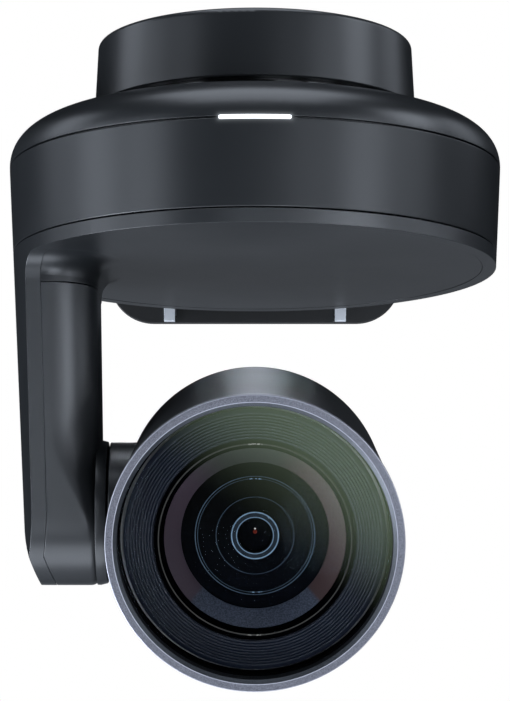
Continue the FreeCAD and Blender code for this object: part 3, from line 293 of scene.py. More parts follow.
def moulded(name, level, tint=(1, 1, 1), rough=0.5, grain_scale=1800.0, depth=0.00002):
    """Plain moulded plastic, rubber or lacquer: faint clouding, fine grain, paler rubbed edges."""
    s = Shader(name)
    grain = s.noise(grain_scale, 3.0)
    cloud = s.noise(60.0, 3.0)
    color = s.mix(s.spread(cloud, 0.3, 0.7), grey(level * 0.88, tint), grey(level * 1.12, tint))
    worn = s.math("MULTIPLY", s.edge_share(0.0005), 0.35)
    color = s.mix(worn, color, grey(min(level * 2.5 + 0.01, 0.9), tint))
    roughness = s.spread(grain, 0.3, 0.7, rough - 0.05, rough + 0.05)
    normal = s.bump(grain, depth, 0.3, s.edge_normal(0.0002))
    return s.surface(s.principled(color=color, rough=roughness, normal=normal))


def metal(name, level, tint=(1, 1, 1), rough=0.35, brushed=(1, 1, 14), cast=0.0, share=0.9):
    """Bare or plated metal: drawn scratches, dull blotches, bright edges; cast adds a pebbled skin."""
    s = Shader(name)
    drawn = s.node("ShaderNodeMapping", {"Vector": s.place(), "Scale": brushed}).outputs["Vector"]
    scratch = s.noise(420.0, 5.0, 0.7, drawn)
    blotch = s.noise(45.0, 4.0)
    color = s.mix(s.spread(blotch, 0.3, 0.7), grey(level * 0.82, tint), grey(min(level * 1.1, 1.0), tint))
    worn = s.math("MULTIPLY", s.edge_share(0.0004), 0.5)
    color = s.mix(worn, color, grey(min(level * 1.5, 1.0), tint))
    roughness = s.math("ADD", s.spread(scratch, 0.3, 0.7, rough - 0.08, rough + 0.08),
                       s.spread(blotch, 0.3, 0.7, 0.05, -0.03))
    pebbles = s.math("MULTIPLY", s.noise(1100.0, 2.0), cast)
    height = s.math("ADD", s.math("MULTIPLY", scratch, 0.25), pebbles)
    normal = s.bump(height, 0.00002 + 0.00008 * cast, 0.4, s.edge_normal(0.0002))
    return s.surface(s.principled(color=color, rough=roughness, metal=share, normal=normal))


def circuit_board():
    """Green board lacquer with faint copper tracks under it."""
    s = Shader("circuit_board")
    x, y, z = s.parts(s.place())
    track_x = s.math("WRAP", s.math("MULTIPLY", x, 1000.0), 2.4)
    track_y = s.math("WRAP", s.math("MULTIPLY", y, 1000.0), 3.1)
    near = s.math("MINIMUM", s.math("ABSOLUTE", track_x), s.math("ABSOLUTE", track_y))
    patches = s.spread(s.noise(140.0, 1.0), 0.48, 0.52)
    track = s.math("MULTIPLY", s.spread(near, 0.10, 0.16, 1.0, 0.0), patches)
    color = s.mix(track, (0.006, 0.055, 0.024, 1), (0.03, 0.14, 0.06, 1))
    color = s.mix(s.edge_share(0.0004), color, (0.20, 0.19, 0.09, 1))
    weave = s.noise(900.0, 2.0)
    height = s.math("ADD", s.math("MULTIPLY", track, 0.6), s.math("MULTIPLY", weave, 0.3))
    return s.surface(s.principled(color=color, rough=s.spread(weave, 0.3, 0.7, 0.24, 0.36),
                                  normal=s.bump(height, 0.00002, 0.5, s.edge_normal(0.0002)), coat=0.3))


def clear_optic(name):
    """Inner lens glass: clear face on; seen edge-on it turns bluish and denser, the blue being a painted coating
    reflection.
    """
    s = Shader(name)
    facing = s.node("ShaderNodeLayerWeight", {"Blend": 0.35}).outputs["Facing"]
    smear = s.noise(90.0, 3.0)
    # painted reflection: bluish colour where the surface is seen edge-on
    color = s.mix(facing, (0.02, 0.03, 0.05, 1), (0.10, 0.13, 0.22, 1))
    return s.surface(s.principled(color=color, rough=s.spread(smear, 0.3, 0.7, 0.04, 0.10),
                                  alpha=s.spread(facing, 0.0, 1.0, 0.35, 0.9), coat=0.5,
                                  normal=s.bump(smear, 0.000004, 0.2, s.edge_normal(0.0001))))


def bezel_paint():
    """Lilac-grey flaked lacquer on the face and a darker chamfer; the inner wall is painted black as shade, and
    two edges carry painted highlight lines.
    """
    s = Shader("bezel_satin")
    flake = s.noise(3300.0, 2.0, 0.7)
    face = s.mix(s.spread(flake, 0.38, 0.62), (0.052, 0.053, 0.064, 1), (0.120, 0.121, 0.140, 1))
    chamfer = s.mix(s.spread(flake, 0.38, 0.62), (0.020, 0.023, 0.028, 1), (0.042, 0.046, 0.052, 1))
    radius, x, y = s.ring_radius()
    highlight_color = (0.42, 0.42, 0.47, 1)
    on_face = s.spread(radius, CHAMFER_OUT_R - 0.06, CHAMFER_OUT_R + 0.06)
    on_chamfer = s.spread(radius, CHAMFER_IN_R - 0.02, CHAMFER_IN_R + 0.08)
    # painted shade: black inside the chamfer, on the inner wall
    color = s.mix(on_chamfer, (0.0008, 0.0008, 0.001, 1), s.mix(on_face, chamfer, face))
    # painted highlights: pale lines on the outer edge and on the edge between face and chamfer
    for edge_radius, width, highlight_level in ((BEZEL_R - 0.1, 0.22, 0.8), (CHAMFER_OUT_R + 0.12, 0.16, 0.7)):
        away = s.math("ABSOLUTE", s.math("SUBTRACT", radius, edge_radius))
        painted_highlight = s.spread(away, 0.0, width, highlight_level, 0.0, smooth=True)
        color = s.mix(painted_highlight, color, highlight_color)
    roughness = s.math("ADD", s.spread(flake, 0.35, 0.65, 0.36, 0.5),
                       s.spread(radius, CHAMFER_IN_R - 0.02, CHAMFER_IN_R + 0.02, 0.3, 0.0))
    metal = s.math("MULTIPLY", on_chamfer, 0.55)
    normal = s.bump(flake, 0.00002, 0.5, s.edge_normal(0.0002))
    return s.surface(s.principled(color=color, rough=roughness, metal=metal, normal=normal,
                                  level=s.math("MULTIPLY", on_chamfer, 0.5)))


def coated_glass(name, reflection_glow_level, mirror):
    """Clear coated glass: see-through, with a painted green reflection glowing towards the upper right."""
    s = Shader(name)
    radius, x, y = s.ring_radius()
    slant = s.math("ADD", s.math("MULTIPLY", x, 0.6), s.math("MULTIPLY", y, 0.78))
    # painted reflection: a faint green glow, strongest to the upper right and towards the rim
    painted_reflection = s.math("MULTIPLY", s.spread(slant, 0.002, 0.036, 0.0, 1.0, smooth=True),
                   s.spread(radius, 21.0, 32.0, 0.55, 1.0, smooth=True))
    clear = s.node("ShaderNodeBsdfTransparent").outputs[0]
    reflection_glow = s.node("ShaderNodeEmission", {"Color": (0.74, 1.0, 0.66, 1), "Strength": 1.0}).outputs[0]
    shine = s.node("ShaderNodeBsdfGlossy", {"Color": (0.75, 0.9, 1.0, 1), "Roughness": 0.02}).outputs[0]
    fresnel = s.node("ShaderNodeFresnel", {"IOR": 1.5}).outputs[0]
    body = s.blend(s.math("MULTIPLY", painted_reflection, reflection_glow_level), clear, reflection_glow)
    return s.surface(s.blend(s.math("MULTIPLY", fresnel, mirror), body, shine))


def baffle_black():
    """Matt blue-black light trap."""
    s = Shader("baffle_black")
    grain = s.noise(4200.0, 2.0)
    color = s.mix(grain, (0.002, 0.0035, 0.008, 1), (0.004, 0.0065, 0.013, 1))
    radius, x, y = s.ring_radius()
    ribbed = s.spread(radius, BAFFLE_IN_R + 0.2, BAFFLE_IN_R + 0.8)
    color = s.mix(ribbed, (0.0004, 0.0004, 0.0006, 1), color)
    return s.surface(s.principled(color=color, rough=0.42, level=s.math("MULTIPLY", ribbed, 0.22),
                                  normal=s.bump(grain, 0.00001, 0.4)))


def frosted_cone():
    """The sloping ring round the front element: sectors of painted reflection, reddish at the sides, dark
    green-grey at the top, speckled blue at the bottom.
    """
    s = Shader("hood_frost")
    radius, x, y = s.ring_radius()
    angle = s.math("ARCTAN2", y, x)
    speckle = s.noise(2600.0, 2.0, 0.6)
    # painted reflections: each sector's colour stands in for what the coating would reflect there
    right = s.mix(speckle, (0.013, 0.005, 0.005, 1), (0.023, 0.009, 0.009, 1))
    left = s.mix(speckle, (0.018, 0.011, 0.016, 1), (0.030, 0.019, 0.027, 1))
    top = s.mix(speckle, (0.0035, 0.004, 0.003, 1), (0.008, 0.009, 0.007, 1))
    low = s.mix(s.spread(speckle, 0.4, 0.6), (0.005, 0.008, 0.015, 1), (0.034, 0.042, 0.062, 1))
    sides = s.mix(s.spread(x, -0.002, 0.002), left, right)
    # sector edges in radians, from the head's right and upwards; soft at the top, sharp at the bottom
    is_top = s.math("MULTIPLY", s.spread(angle, 0.9, 1.3), s.spread(angle, 1.95, 2.5, 1.0, 0.0))
    is_low = s.math("MULTIPLY", s.spread(angle, -2.38, -2.34), s.spread(angle, -0.80, -0.76, 1.0, 0.0))
    color = s.mix(is_low, s.mix(is_top, sides, top), low)
    return s.surface(s.principled(color=color, rough=0.6, level=0.3, normal=s.bump(speckle, 0.00002, 0.5)))


def lens_core():
    """Blackened inside of the lens, seen through the front element."""
    s = Shader("lens_core")
    radius, x, y = s.ring_radius()
    color = s.mix(s.spread(y, -0.02, 0.02, 0.0, 1.0, smooth=True), (0.0004, 0.0008, 0.0018, 1),
                  (0.0008, 0.001, 0.0009, 1))
    grain = s.noise(1500.0, 2.0)
    return s.surface(s.principled(color=color, rough=s.spread(grain, 0.3, 0.7, 0.6, 0.8), level=0.02,
                                  normal=s.bump(grain, 0.00001, 0.3)))


def ring_glow(name, color, level, sides=0.0, tips=0.0):
    """Painted highlight on the ground edge of a lens: a glowing band, brighter at its sides or with painted glints
    at its tips.
    """
    s = Shader(name)
    radius, x, y = s.ring_radius()
    across = s.math("DIVIDE", s.math("MULTIPLY", s.math("ABSOLUTE", x), 1000.0), radius)
    level = s.math("MULTIPLY", s.math("ADD", s.math("MULTIPLY", across, sides), 1.0 - sides), level)
    # painted glints at the top and bottom of the ring
    if tips:
        near_top = s.spread(s.math("ABSOLUTE", x), TIP_HALF * 0.6, TIP_HALF, tips, 0.0, smooth=True)
        broken = s.spread(s.noise(1500.0, 2.0), 0.45, 0.55)
        level = s.math("ADD", level, s.math("MULTIPLY", near_top, broken))
    # uneven strength along the painted highlight
    uneven_glow = s.spread(s.noise(700.0, 3.0), 0.3, 0.7, 0.75, 1.2)
    base = (color[0] * 0.01, color[1] * 0.01, color[2] * 0.01, 1)
    return s.surface(s.principled(color=base, rough=0.6, level=0.05, glow=color,
                                  glow_strength=s.math("MULTIPLY", level, uneven_glow)))


def beyond(s, value, middle, half):
    """How far a coordinate lies outside middle - half .. middle + half."""
    off = s.math("ABSOLUTE", s.math("SUBTRACT", value, middle))
    return s.math("MAXIMUM", s.math("SUBTRACT", off, half), 0.0)


def bar_distance(s):
    """Distance in millimetres from the lit strip, and 1 at the drum's front, 0 elsewhere."""
    x, y, z = s.parts(s.place())
    along = beyond(s, x, PAN.x, BAR_HALF_X)
    across = beyond(s, z, BAR_Z, BAR_HALF_Z)
    square = s.math("ADD", s.math("POWER", along, 2.0), s.math("POWER", across, 2.0))
    distance = s.math("MULTIPLY", s.math("SQRT", square), 1000.0)
    return distance, s.spread(y, PAN.y - 0.07, PAN.y - 0.06, 1.0, 0.0)


def light_material():
    """Frosted strip, evenly lit and fading at its two ends."""
    s = Shader("light_diffuser")
    distance, front = bar_distance(s)
    cloud = s.spread(s.noise(400.0, 2.0), 0.3, 0.7, 0.97, 1.03)
    strength = s.math("MULTIPLY", s.spread(distance, 0.0, 0.5, 2.2, 0.25, smooth=True), cloud)
    return s.surface(s.principled(color=(0.5, 0.52, 0.55, 1), rough=0.45, glow=(0.90, 0.94, 1.0, 1.0),
                                  glow_strength=strength, normal=s.edge_normal(0.0002)))


# one material for each slot of the record
MATERIALS = {
    "shell_plastic": shell_plastic(),
    "gloss_plastic": moulded("gloss_plastic", 0.004, rough=0.12, depth=0.000003),
    "bracket_coat": moulded("bracket_coat", 0.0012, rough=0.5, grain_scale=900.0, depth=0.00004),
    "panel_plastic": moulded("panel_plastic", 0.012, rough=0.42),
    "socket_body": moulded("socket_body", 0.02, rough=0.38, grain_scale=2600.0),
    "pad_rubber": moulded("pad_rubber", 0.012, rough=0.85, grain_scale=700.0, depth=0.00006),
    "cable_jacket": moulded("cable_jacket", 0.010, rough=0.62, grain_scale=1200.0),
    "cage_plastic": moulded("cage_plastic", 0.55, (1.0, 0.95, 0.82), rough=0.45),
    "gear_plastic": moulded("gear_plastic", 0.70, (1.0, 0.98, 0.93), rough=0.4),
    "hood_black": moulded("hood_black", 0.004, (0.8, 1.0, 1.3), 0.4, grain_scale=4200.0, depth=0.00001),
    "zinc_plate": metal("zinc_plate", 0.80, (0.97, 1.0, 1.04), rough=0.34, share=0.6),
    "screw_steel": metal("screw_steel", 0.45, rough=0.3, brushed=(6, 6, 1)),
    "plate_steel": metal("plate_steel", 0.50, (0.98, 1.0, 1.02), rough=0.38, brushed=(1, 14, 1)),
    "motor_steel": metal("motor_steel", 0.55, rough=0.28, brushed=(1, 1, 20)),
    "bearing_steel": metal("bearing_steel", 0.62, rough=0.16, brushed=(2, 2, 1)),
    "cast_alloy": metal("cast_alloy", 0.42, (1.0, 1.0, 1.01), rough=0.5, brushed=(1, 1, 1), cast=1.0),
    "gear_brass": metal("gear_brass", 0.62, (1.0, 0.78, 0.36), rough=0.26, brushed=(10, 10, 1)),
    "lens_metal": metal("lens_metal", 0.03, (0.9, 1.0, 1.15), rough=0.4, brushed=(1, 12, 1)),
    "circuit_board": circuit_board(),
    "lens_glass": clear_optic("lens_glass"),
    "window_glass": clear_optic("window_glass"),
    "light_diffuser": light_material(),
    "bezel_satin": bezel_paint(),
    "baffle_black": baffle_black(),
}
for name, node in nodes.items():
    node.data.materials.clear()
    node.data.materials.append(MATERIALS[slot_of[name]])


# ---------------------------------------------------------------- arm cover, in the drum's frame
TILT_Z = (TILT.z - FOOT_FACE_Z) / MM
ARM_R = 22.15
ARM_LEAN = math.radians(3.5)
ARM_TOP_Z = -79.25
ARM_IN_TOP_X, ARM_IN_LOW_X, BOSS_FACE_X = -48.0, -46.9, -44.7
ARM_ROUND, ARM_END_ROUND = 15.5, 3.0
FADE_TOP_Z, FADE_LOW_Z = -122.0, -158.0
DRUM_R, DRUM_DRAFT, SEAM_Z = 76.0, 0.052, -40.0
SKIN_T = 4.32
END_CURVE_Z, END_CURVE_R = -148.0, 51.0
BOSS_BORE_R = 10.2


def skin_inside_x(y, z):
    """How far out the cover may reach before it meets the yoke's skin."""
    inward = Vector((1, DRUM_DRAFT)).normalized()
    wall = DRUM_R + DRUM_DRAFT * (z - SEAM_Z) - SKIN_T
    x = -math.sqrt(wall ** 2 - y * y)
    start = Vector((-DRUM_R - DRUM_DRAFT * (END_CURVE_Z - SEAM_Z), END_CURVE_Z))
    centre = start + inward * END_CURVE_R
    if z < centre.y:
        radius = END_CURVE_R - SKIN_T
        x = max(x, centre.x - math.sqrt(radius ** 2 - (z - centre.y) ** 2))
    return x


def arm_stations():
    """Stops down the arm's front edge and round its end: y, z, inward y and z, reach to the middle."""
    half_low = ARM_R * math.cos(ARM_LEAN)
    touch_z = TILT_Z - ARM_R * math.sin(ARM_LEAN)
    stations = []
    straight = 36
    for k in range(straight):
        z = ARM_TOP_Z + (touch_z - ARM_TOP_Z) * k / straight
        half = half_low + (z - touch_z) * math.tan(ARM_LEAN)
        stations.append((-half, z, 1.0, 0.0, half))
    turn = 40
    for k in range(turn + 1):
        a = ARM_LEAN + (math.pi / 2 - ARM_LEAN) * k / turn
        in_y, in_z = math.cos(a), math.sin(a)
        stations.append((-ARM_R * in_y, TILT_Z - ARM_R * in_z, in_y, in_z, ARM_R))
    return stations


def arm_section(y, z, in_y, in_z, reach):
    """The front half of the cover's outline: from the middle, along the skin, round the inner corner."""
    share = min(max((z - FADE_LOW_Z) / (FADE_TOP_Z - FADE_LOW_Z), 0.0), 1.0)
    round_r = ARM_END_ROUND + (ARM_ROUND - ARM_END_ROUND) * share * share * (3 - 2 * share)
    low_z = TILT_Z + ARM_R
    slant = min(max((z - low_z) / (ARM_TOP_Z - low_z), 0.0), 1.0)
    inner_x = ARM_IN_LOW_X + (ARM_IN_TOP_X - ARM_IN_LOW_X) * slant
    side, flat, bend, rest = 8, 10, 16, 6  # steps along each stretch of the outline
    points = []

    def add(x, depth):
        points.append(Vector((x, y + in_y * depth, z + in_z * depth)))

    for k in range(side):
        depth = reach * (1 - k / side)
        add(skin_inside_x(y + in_y * depth, z + in_z * depth), depth)
    outer_x = skin_inside_x(y, z)
    for k in range(flat):
        add(outer_x + (inner_x - round_r - outer_x) * k / flat, 0.0)
    for k in range(bend + 1):
        a = math.pi / 2 * k / bend
        add(inner_x - round_r + round_r * math.sin(a), round_r * (1 - math.cos(a)))
    for k in range(1, rest + 1):
        add(inner_x, round_r + (reach - round_r) * k / rest)
    return points


def arm_cover():
    """Smooth cover of the arm: a half-round column that flattens towards its round end."""
    mesh = bpy.data.meshes.new("arm_cover")
    bm = bmesh.new()
    rows = []
    for station in arm_stations():
        front = arm_section(*station)
        back = [Vector((p.x, -p.y, p.z)) for p in reversed(front[1:-1])]
        rows.append([bm.verts.new(p) for p in front + back])
    bm.faces.new(rows[0])
    for row, following in zip(rows, rows[1:]):
        for k in range(len(row)):
            after = (k + 1) % len(row)
            bm.faces.new([row[k], row[after], following[after], following[k]])
    bmesh.ops.remove_doubles(bm, verts=bm.verts, dist=1e-4)
    bmesh.ops.dissolve_degenerate(bm, edges=bm.edges, dist=1e-4)
    bmesh.ops.recalc_face_normals(bm, faces=bm.faces)
    bm.to_mesh(mesh)
    bm.free()
    mesh.transform(DRUM_PLACE)
    cover = new_object("arm_skin", mesh, MATERIALS["shell_plastic"], 30)
    return stands_for(cover, "pan_yoke", "arm_cover")


def arm_boss():
    """Low round seat on the arm for the head's hub."""
    place = DRUM_PLACE @ Matrix.Translation((0, 0, TILT_Z)) @ Matrix.Rotation(math.pi / 2, 4, "Y")
    boss = lathe("arm_boss", [
        (BOSS_BORE_R, ARM_IN_LOW_X - 1), (ARM_R - 0.1, ARM_IN_LOW_X - 1), (ARM_R - 0.05, ARM_IN_LOW_X),
        (ARM_R - 0.6, BOSS_FACE_X, 0.3), (BOSS_BORE_R, BOSS_FACE_X),
    ], place, MATERIALS["shell_plastic"])
    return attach(boss, "pan_yoke")


# ---------------------------------------------------------------- lens
FINE_SIDES = 256  # for the large rings


def bezel_ring():
    """Metal ring round the lens, with a sleeve that plugs into the barrel."""
    f = FACE_Z
    ring = lathe("bezel", [
        (BEZEL_R, f, 0.3), (BEZEL_R, f - 3.75, 0.3), (BEZEL_R - 2.6, f - 3.8), (BEZEL_R - 2.6, f - 11.2),
        (BEZEL_R - 4.2, f - 11.2), (BEZEL_R - 4.2, f - 5.9), (CHAMFER_IN_R, f - 5.9),
        (CHAMFER_IN_R, f - CHAMFER_DEPTH, 0.1), (CHAMFER_OUT_R, f, 0.1),
    ], HEAD_PLACE, MATERIALS["bezel_satin"], FINE_SIDES)
    return stands_for(ring, "head", "bezel_ring")


def front_window():
    """Flat protective window inside the bezel."""
    back_z = WINDOW_Z - 1.6
    pane = lathe("window", [
        (0, WINDOW_Z), (WINDOW_R, WINDOW_Z, 0.3), (WINDOW_R, back_z, 0.2), (0, back_z),
    ], HEAD_PLACE, coated_glass("window_glass", 0.05, 0.02))
    return stands_for(pane, "head", "front_window")


def baffle():
    """Shallow cone with fine ribs that trap stray light."""
    outline = [(BAFFLE_IN_R, BAFFLE_IN_Z - RIB_DEPTH)]
    first = BAFFLE_IN_R + 0.45
    for k in range(RIB_COUNT):
        r = first + RIB_PITCH * k
        z = BAFFLE_IN_Z - (BAFFLE_IN_Z - BAFFLE_OUT_Z) * k / RIB_COUNT
        crest, fall = r + RIB_PITCH * 0.3, r + RIB_PITCH * 0.75
        outline += [(r, z - RIB_DEPTH), (crest, z, 0.12), (fall, z - 0.04, 0.12)]
    outline += [(BAFFLE_OUT_R, BAFFLE_OUT_Z - RIB_DEPTH), (BAFFLE_OUT_R, BAFFLE_OUT_Z - 2.0),
                (BAFFLE_IN_R, BAFFLE_OUT_Z - 2.0)]
    cone = lathe("baffle", outline, HEAD_PLACE, MATERIALS["baffle_black"], FINE_SIDES)
    return stands_for(cone, "head", "baffle_ring")


def hood():
    """Dark step round the front element."""
    outer_r, inner_r, low_z = BAFFLE_IN_R - 0.05, FROST_OUT_R - 0.2, FROST_IN_Z - 0.3
    step = lathe("hood", [
        (outer_r, LIP_Z - 0.4), (LIP_R, LIP_Z - 0.4), (FROST_OUT_R + 0.3, FROST_OUT_Z, 0.2),
        (FROST_OUT_R, FROST_OUT_Z), (inner_r, FROST_OUT_Z - 0.4), (inner_r, low_z), (outer_r, low_z),
    ], HEAD_PLACE, MATERIALS["baffle_black"], FINE_SIDES)
    return stands_for(step, "head", "lens_hood")


def hood_lip():
    """Thin edge on the step, lit by a painted highlight that glints at its top and bottom."""
    shine = ring_glow("lip_edge_highlight", (0.8, 0.82, 0.8, 1), 0.035, tips=0.25)
    base_z = LIP_Z - 0.45
    lip = lathe("hood_lip", [
        (LIP_R + 0.05, base_z), (LIP_R, LIP_Z, 0.06), (LIP_R - 0.35, LIP_Z, 0.06), (LIP_R - 0.3, base_z),
    ], HEAD_PLACE, shine, FINE_SIDES)
    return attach(lip, "head")


def frost_ring():
    """Sloping frosted ring between the step and the front element."""
    outer_r, low_z = FROST_OUT_R - 0.22, FROST_IN_Z - 0.28
    frost = lathe("frost_ring", [
        (outer_r, FROST_OUT_Z - 0.2), (FROST_IN_R, FROST_IN_Z, 0.1), (FROST_IN_R, low_z), (outer_r, low_z),
    ], HEAD_PLACE, frosted_cone(), FINE_SIDES)
    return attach(frost, "head")


def dome_height(r):
    """Rise of the front glass above its edge at radius r."""
    curve = (GLASS_R ** 2 + GLASS_BULGE ** 2) / (2 * GLASS_BULGE)
    return GLASS_BULGE - curve + math.sqrt(curve ** 2 - r * r)


def front_glass():
    """Bulging front lens, a shell of even thickness."""
    steps, thickness = 16, 1.2
    radii = [GLASS_R * k / steps for k in range(steps + 1)]
    front = [(r, GLASS_EDGE_Z + dome_height(r)) for r in radii]
    back = [(r, GLASS_EDGE_Z - thickness + dome_height(r)) for r in reversed(radii)]
    glass = lathe("front_glass", front + back, HEAD_PLACE, coated_glass("element_glass", 0.006, 0.005))
    return stands_for(glass, "head", "front_element")


# middle radius, width, glow, side share and glint of each ring of painted highlight seen in the front element
ELEMENT_RINGS = {
    "outer_a": (17.5, 0.22, 0.13, 0.6, 0.0),
    "outer_b": (16.8, 0.18, 0.07, 0.6, 0.5),
    "middle": (11.4, 0.18, 0.07, 0.5, 0.0),
    "inner_a": (6.85, 0.34, 0.36, 0.1, 0.0),
    "inner_band": (6.1, 0.9, 0.012, 0.0, 0.0),
    "inner_b": (5.4, 0.28, 0.30, 0.1, 0.0),
}
PUPIL_R, PUPIL_DEPTH = 5.0, 2.2


def flat_ring(name, radius, width, material):
    """Thin raised band round the lens axis, standing on the core."""
    half, low, high = width / 2, CORE_Z - 0.02, CORE_Z + 0.1
    ring = lathe(name, [(radius - half, low), (radius - half, high, 0.05), (radius + half, high, 0.05),
                        (radius + half, low)], HEAD_PLACE, material)
    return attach(ring, "head")


def button(name, up, radius, material):
    """Small domed dot on the floor of the pupil, above the lens axis."""
    place = HEAD_PLACE @ Matrix.Translation((0, up, CORE_Z - PUPIL_DEPTH))
    outline = [(0, 0), (radius, 0), (radius * 0.8, radius * 0.25), (0, radius * 0.4)]
    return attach(lathe(name, outline, place, material, 24), "head")


def core():
    """Stepped black inside of the lens, with the pupil as a shallow well."""
    back_z = CORE_Z - 4.0
    body = lathe("lens_core", [
        (0, CORE_Z - PUPIL_DEPTH), (PUPIL_R, CORE_Z - PUPIL_DEPTH), (PUPIL_R, CORE_Z), (16.6, CORE_Z),
        (17.9, CORE_Z - 0.3), (FROST_IN_R, CORE_Z - 0.6), (FROST_IN_R, back_z), (0, back_z),
    ], HEAD_PLACE, lens_core())
    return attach(body, "head")


def lens_inside():
    """What shows through the front glass: the core, and painted highlights for the lens edges, a glint and a red
    spot.
    """
    core()
    for name, (radius, width, glow, sides, tips) in ELEMENT_RINGS.items():
        ring_highlight = ring_glow("ring_" + name, (0.42, 0.68, 1.0, 1), glow, sides, tips)
        flat_ring("element_" + name, radius, width, ring_highlight)
    # painted highlights: a white glint and a faint red glow on two dots in the pupil
    button("pupil_glint", 1.7, 0.26, ring_glow("glint", (1, 1, 1, 1), 0.7))
    button("pupil_red", 0.8, 0.6, ring_glow("red_spot", (1.0, 0.12, 0.06, 1), 0.07))


arm_skin = arm_cover()
boss = arm_boss()
bezel = bezel_ring()
front_window()
baffle()
hood()
hood_lip()
frost_ring()
front_glass()
lens_inside()


# ---------------------------------------------------------------- light
LIGHT_TINT = (0.92, 1.0, 1.13)
DRUM_AIM, HEAD_AIM = (0, -0.09, -0.05), (0, -0.09, -0.11)


def soft_box(name, azimuth, height, distance, size, power, aim=DRUM_AIM, only=()):
    """A rectangular soft light pointed at the object; it may light, and be blocked by, some pieces only."""
    lamp = bpy.data.lights.new(name, "AREA")
    lamp.shape = "RECTANGLE"
    lamp.size, lamp.size_y = size
    lamp.energy = power
    lamp.color = LIGHT_TINT
    holder = bpy.data.objects.new(name, lamp)
    a = math.radians(azimuth)
    target = Vector(aim)
    holder.location = target + Vector((distance * math.sin(a), -distance * math.cos(a), height))
    holder.rotation_euler = (target - holder.location).to_track_quat("-Z", "Y").to_euler()
    holder.visible_camera = False
    bpy.context.scene.collection.objects.link(holder)
    if only:
        lamp.cycles.use_multiple_importance_sampling = False
        group = bpy.data.collections.new(name + "_pieces")
        for piece in only:
            group.objects.link(piece)
        holder.light_linking.receiver_collection = group
        holder.light_linking.blocker_collection = group
    return holder


# name: azimuth in degrees (0 in front, 90 to the right), height, distance, (width, height), watts
STUDIO = {
    "left_rear": (-100, 0.0, 1.4, (0.5, 1.0), 1.0),
    "left_side": (-75, 0.0, 1.4, (0.5, 1.0), 4.6),
    "left_front": (-50, 0.0, 1.4, (0.5, 1.0), 3.8),
    "left_low_front": (-22, -0.75, 1.2, (0.6, 0.6), 3.3),
    "right_near": (25, 0.0, 1.4, (0.5, 1.0), 1.7),
    "right_front": (50, 0.0, 1.4, (0.5, 1.0), 5.3),
    "right_side": (75, 0.0, 1.4, (0.5, 1.0), 1.4),
    "right_low_front": (14, -0.45, 1.3, (0.5, 0.5), 6.2),
    "right_high": (80, 0.75, 1.3, (0.6, 0.6), 5.0),
    "right_high_rear": (115, 0.65, 1.3, (0.6, 0.6), 1.4),
    "left_high_rear": (-100, 0.7, 1.3, (0.6, 0.6), 2.6),
    "left_low": (-75, -0.9, 1.1, (0.8, 0.8), 34),
    "under": (0, -1.3, 0.25, (1.2, 0.9), 10.0),
    "over": (0, 1.3, 0.3, (1.2, 1.2), 14),
    "over_front": (0, 1.0, 1.0, (1.2, 0.6), 0.6),
    "low_rear": (180, -0.4, 1.4, (1.5, 0.5), 0.6),
}
# lights for the arm and its neighbours alone, and for the top of the head alone
ARM_PIECES = (arm_skin, boss, nodes["yoke_shell"], nodes["head_barrel"])
HEAD_PIECES = (bezel, nodes["head_barrel"], nodes["rear_cap"])
TOUCH_UP = {
    "arm_front": (-4, -0.02, 1.4, (0.4, 0.3), 1.2, HEAD_AIM, ARM_PIECES),
    "arm_right": (40, -0.05, 1.4, (0.6, 0.5), 3.8, HEAD_AIM, ARM_PIECES),
    "arm_inner": (90, -0.1, 1.4, (0.7, 0.8), 2.4, HEAD_AIM, ARM_PIECES),
    "head_glow": (180, 0.62, 1.4, (0.3, 0.3), 0.2, HEAD_AIM, HEAD_PIECES),
    "head_streak": (180, 0.576, 1.3, (0.12, 0.2), 0.11, HEAD_AIM, HEAD_PIECES),
    "head_over": (180, 1.4, 0.2, (0.7, 0.5), 2.8, HEAD_AIM, HEAD_PIECES),
}
for name, settings in {**STUDIO, **TOUCH_UP}.items():
    soft_box(name, *settings)


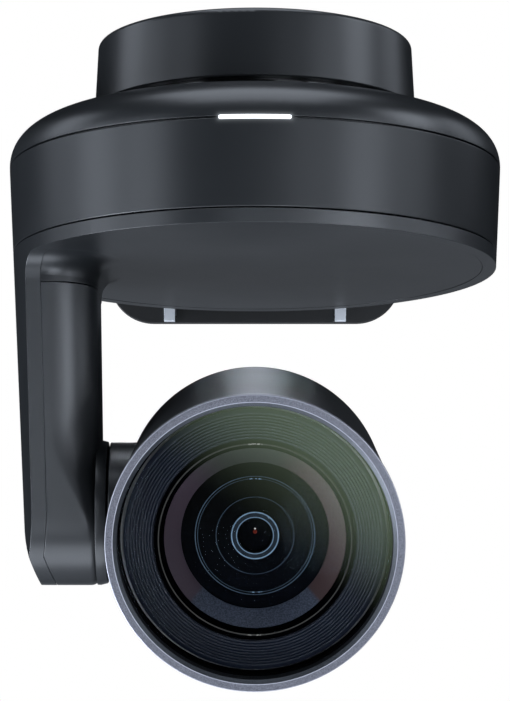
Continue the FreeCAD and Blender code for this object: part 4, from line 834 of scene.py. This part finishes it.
def studio_world():
    """White behind the object for the camera, dim grey for everything else."""
    world = bpy.data.worlds.new("studio")
    world.use_nodes = True
    tree = world.node_tree
    tree.nodes.clear()
    path = tree.nodes.new("ShaderNodeLightPath")
    seen = tree.nodes.new("ShaderNodeBackground")
    seen.inputs["Color"].default_value = (1, 1, 1, 1)
    felt = tree.nodes.new("ShaderNodeBackground")
    felt.inputs["Color"].default_value = (0.004, 0.0045, 0.005, 1)
    mix = tree.nodes.new("ShaderNodeMixShader")
    out = tree.nodes.new("ShaderNodeOutputWorld")
    tree.links.new(path.outputs["Is Camera Ray"], mix.inputs[0])
    tree.links.new(felt.outputs[0], mix.inputs[1])
    tree.links.new(seen.outputs[0], mix.inputs[2])
    tree.links.new(mix.outputs[0], out.inputs[0])
    bpy.context.scene.world = world


def floor():
    """Pale matt disc well below the object, with a turned-up rim; clear to a camera under it."""
    s = Shader("floor_paint")
    mottle = s.noise(6.0, 4.0)
    color = s.mix(mottle, (0.74, 0.74, 0.75, 1), (0.80, 0.80, 0.80, 1))
    solid = s.principled(color=color, rough=s.spread(mottle, 0.3, 0.7, 0.75, 0.9),
                         normal=s.bump(s.noise(90.0, 3.0), 0.0004, 0.2))
    x, y, seen_from = s.parts(s.node("ShaderNodeNewGeometry").outputs["Incoming"])
    clear = s.node("ShaderNodeBsdfTransparent").outputs[0]
    to_camera = s.node("ShaderNodeLightPath").outputs["Is Camera Ray"]
    lift = s.node("ShaderNodeEmission", {"Color": color, "Strength": 0.95}).outputs[0]
    pale = s.blend(s.math("MULTIPLY", to_camera, 0.75), solid, lift)
    paint = s.surface(s.blend(s.math("GREATER_THAN", seen_from, 0.0), clear, pale))
    top, radius, thickness, rim = -1550.0, 2400.0, 20, 30
    disc = lathe("floor", [
        (0, top - thickness), (radius, top - thickness, 8), (radius, top + rim, 12),
        (radius - 40, top + rim, 12), (radius - 80, top, 40), (0, top),
    ], Matrix.Translation(PAN) @ Matrix.Scale(MM, 4), paint, 96)


floor()
studio_world()
bpy.context.scene.view_settings.view_transform = "Standard"

# ---------------------------------------------------------------- camera
CAMERA_BACK, CAMERA_DROP, CAMERA_PITCH, CAMERA_LENS = 1.0, 0.2592, 9.27, 168.96
camera = bpy.data.objects.new("camera", bpy.data.cameras.new("camera"))
camera.data.lens = CAMERA_LENS
camera.data.sensor_width = 36
camera.location = (PAN.x, PAN.y - CAMERA_BACK, FOOT_FACE_Z - CAMERA_DROP)
camera.rotation_euler = (math.radians(90 + CAMERA_PITCH), 0, 0)
bpy.context.scene.collection.objects.link(camera)
bpy.context.scene.camera = camera
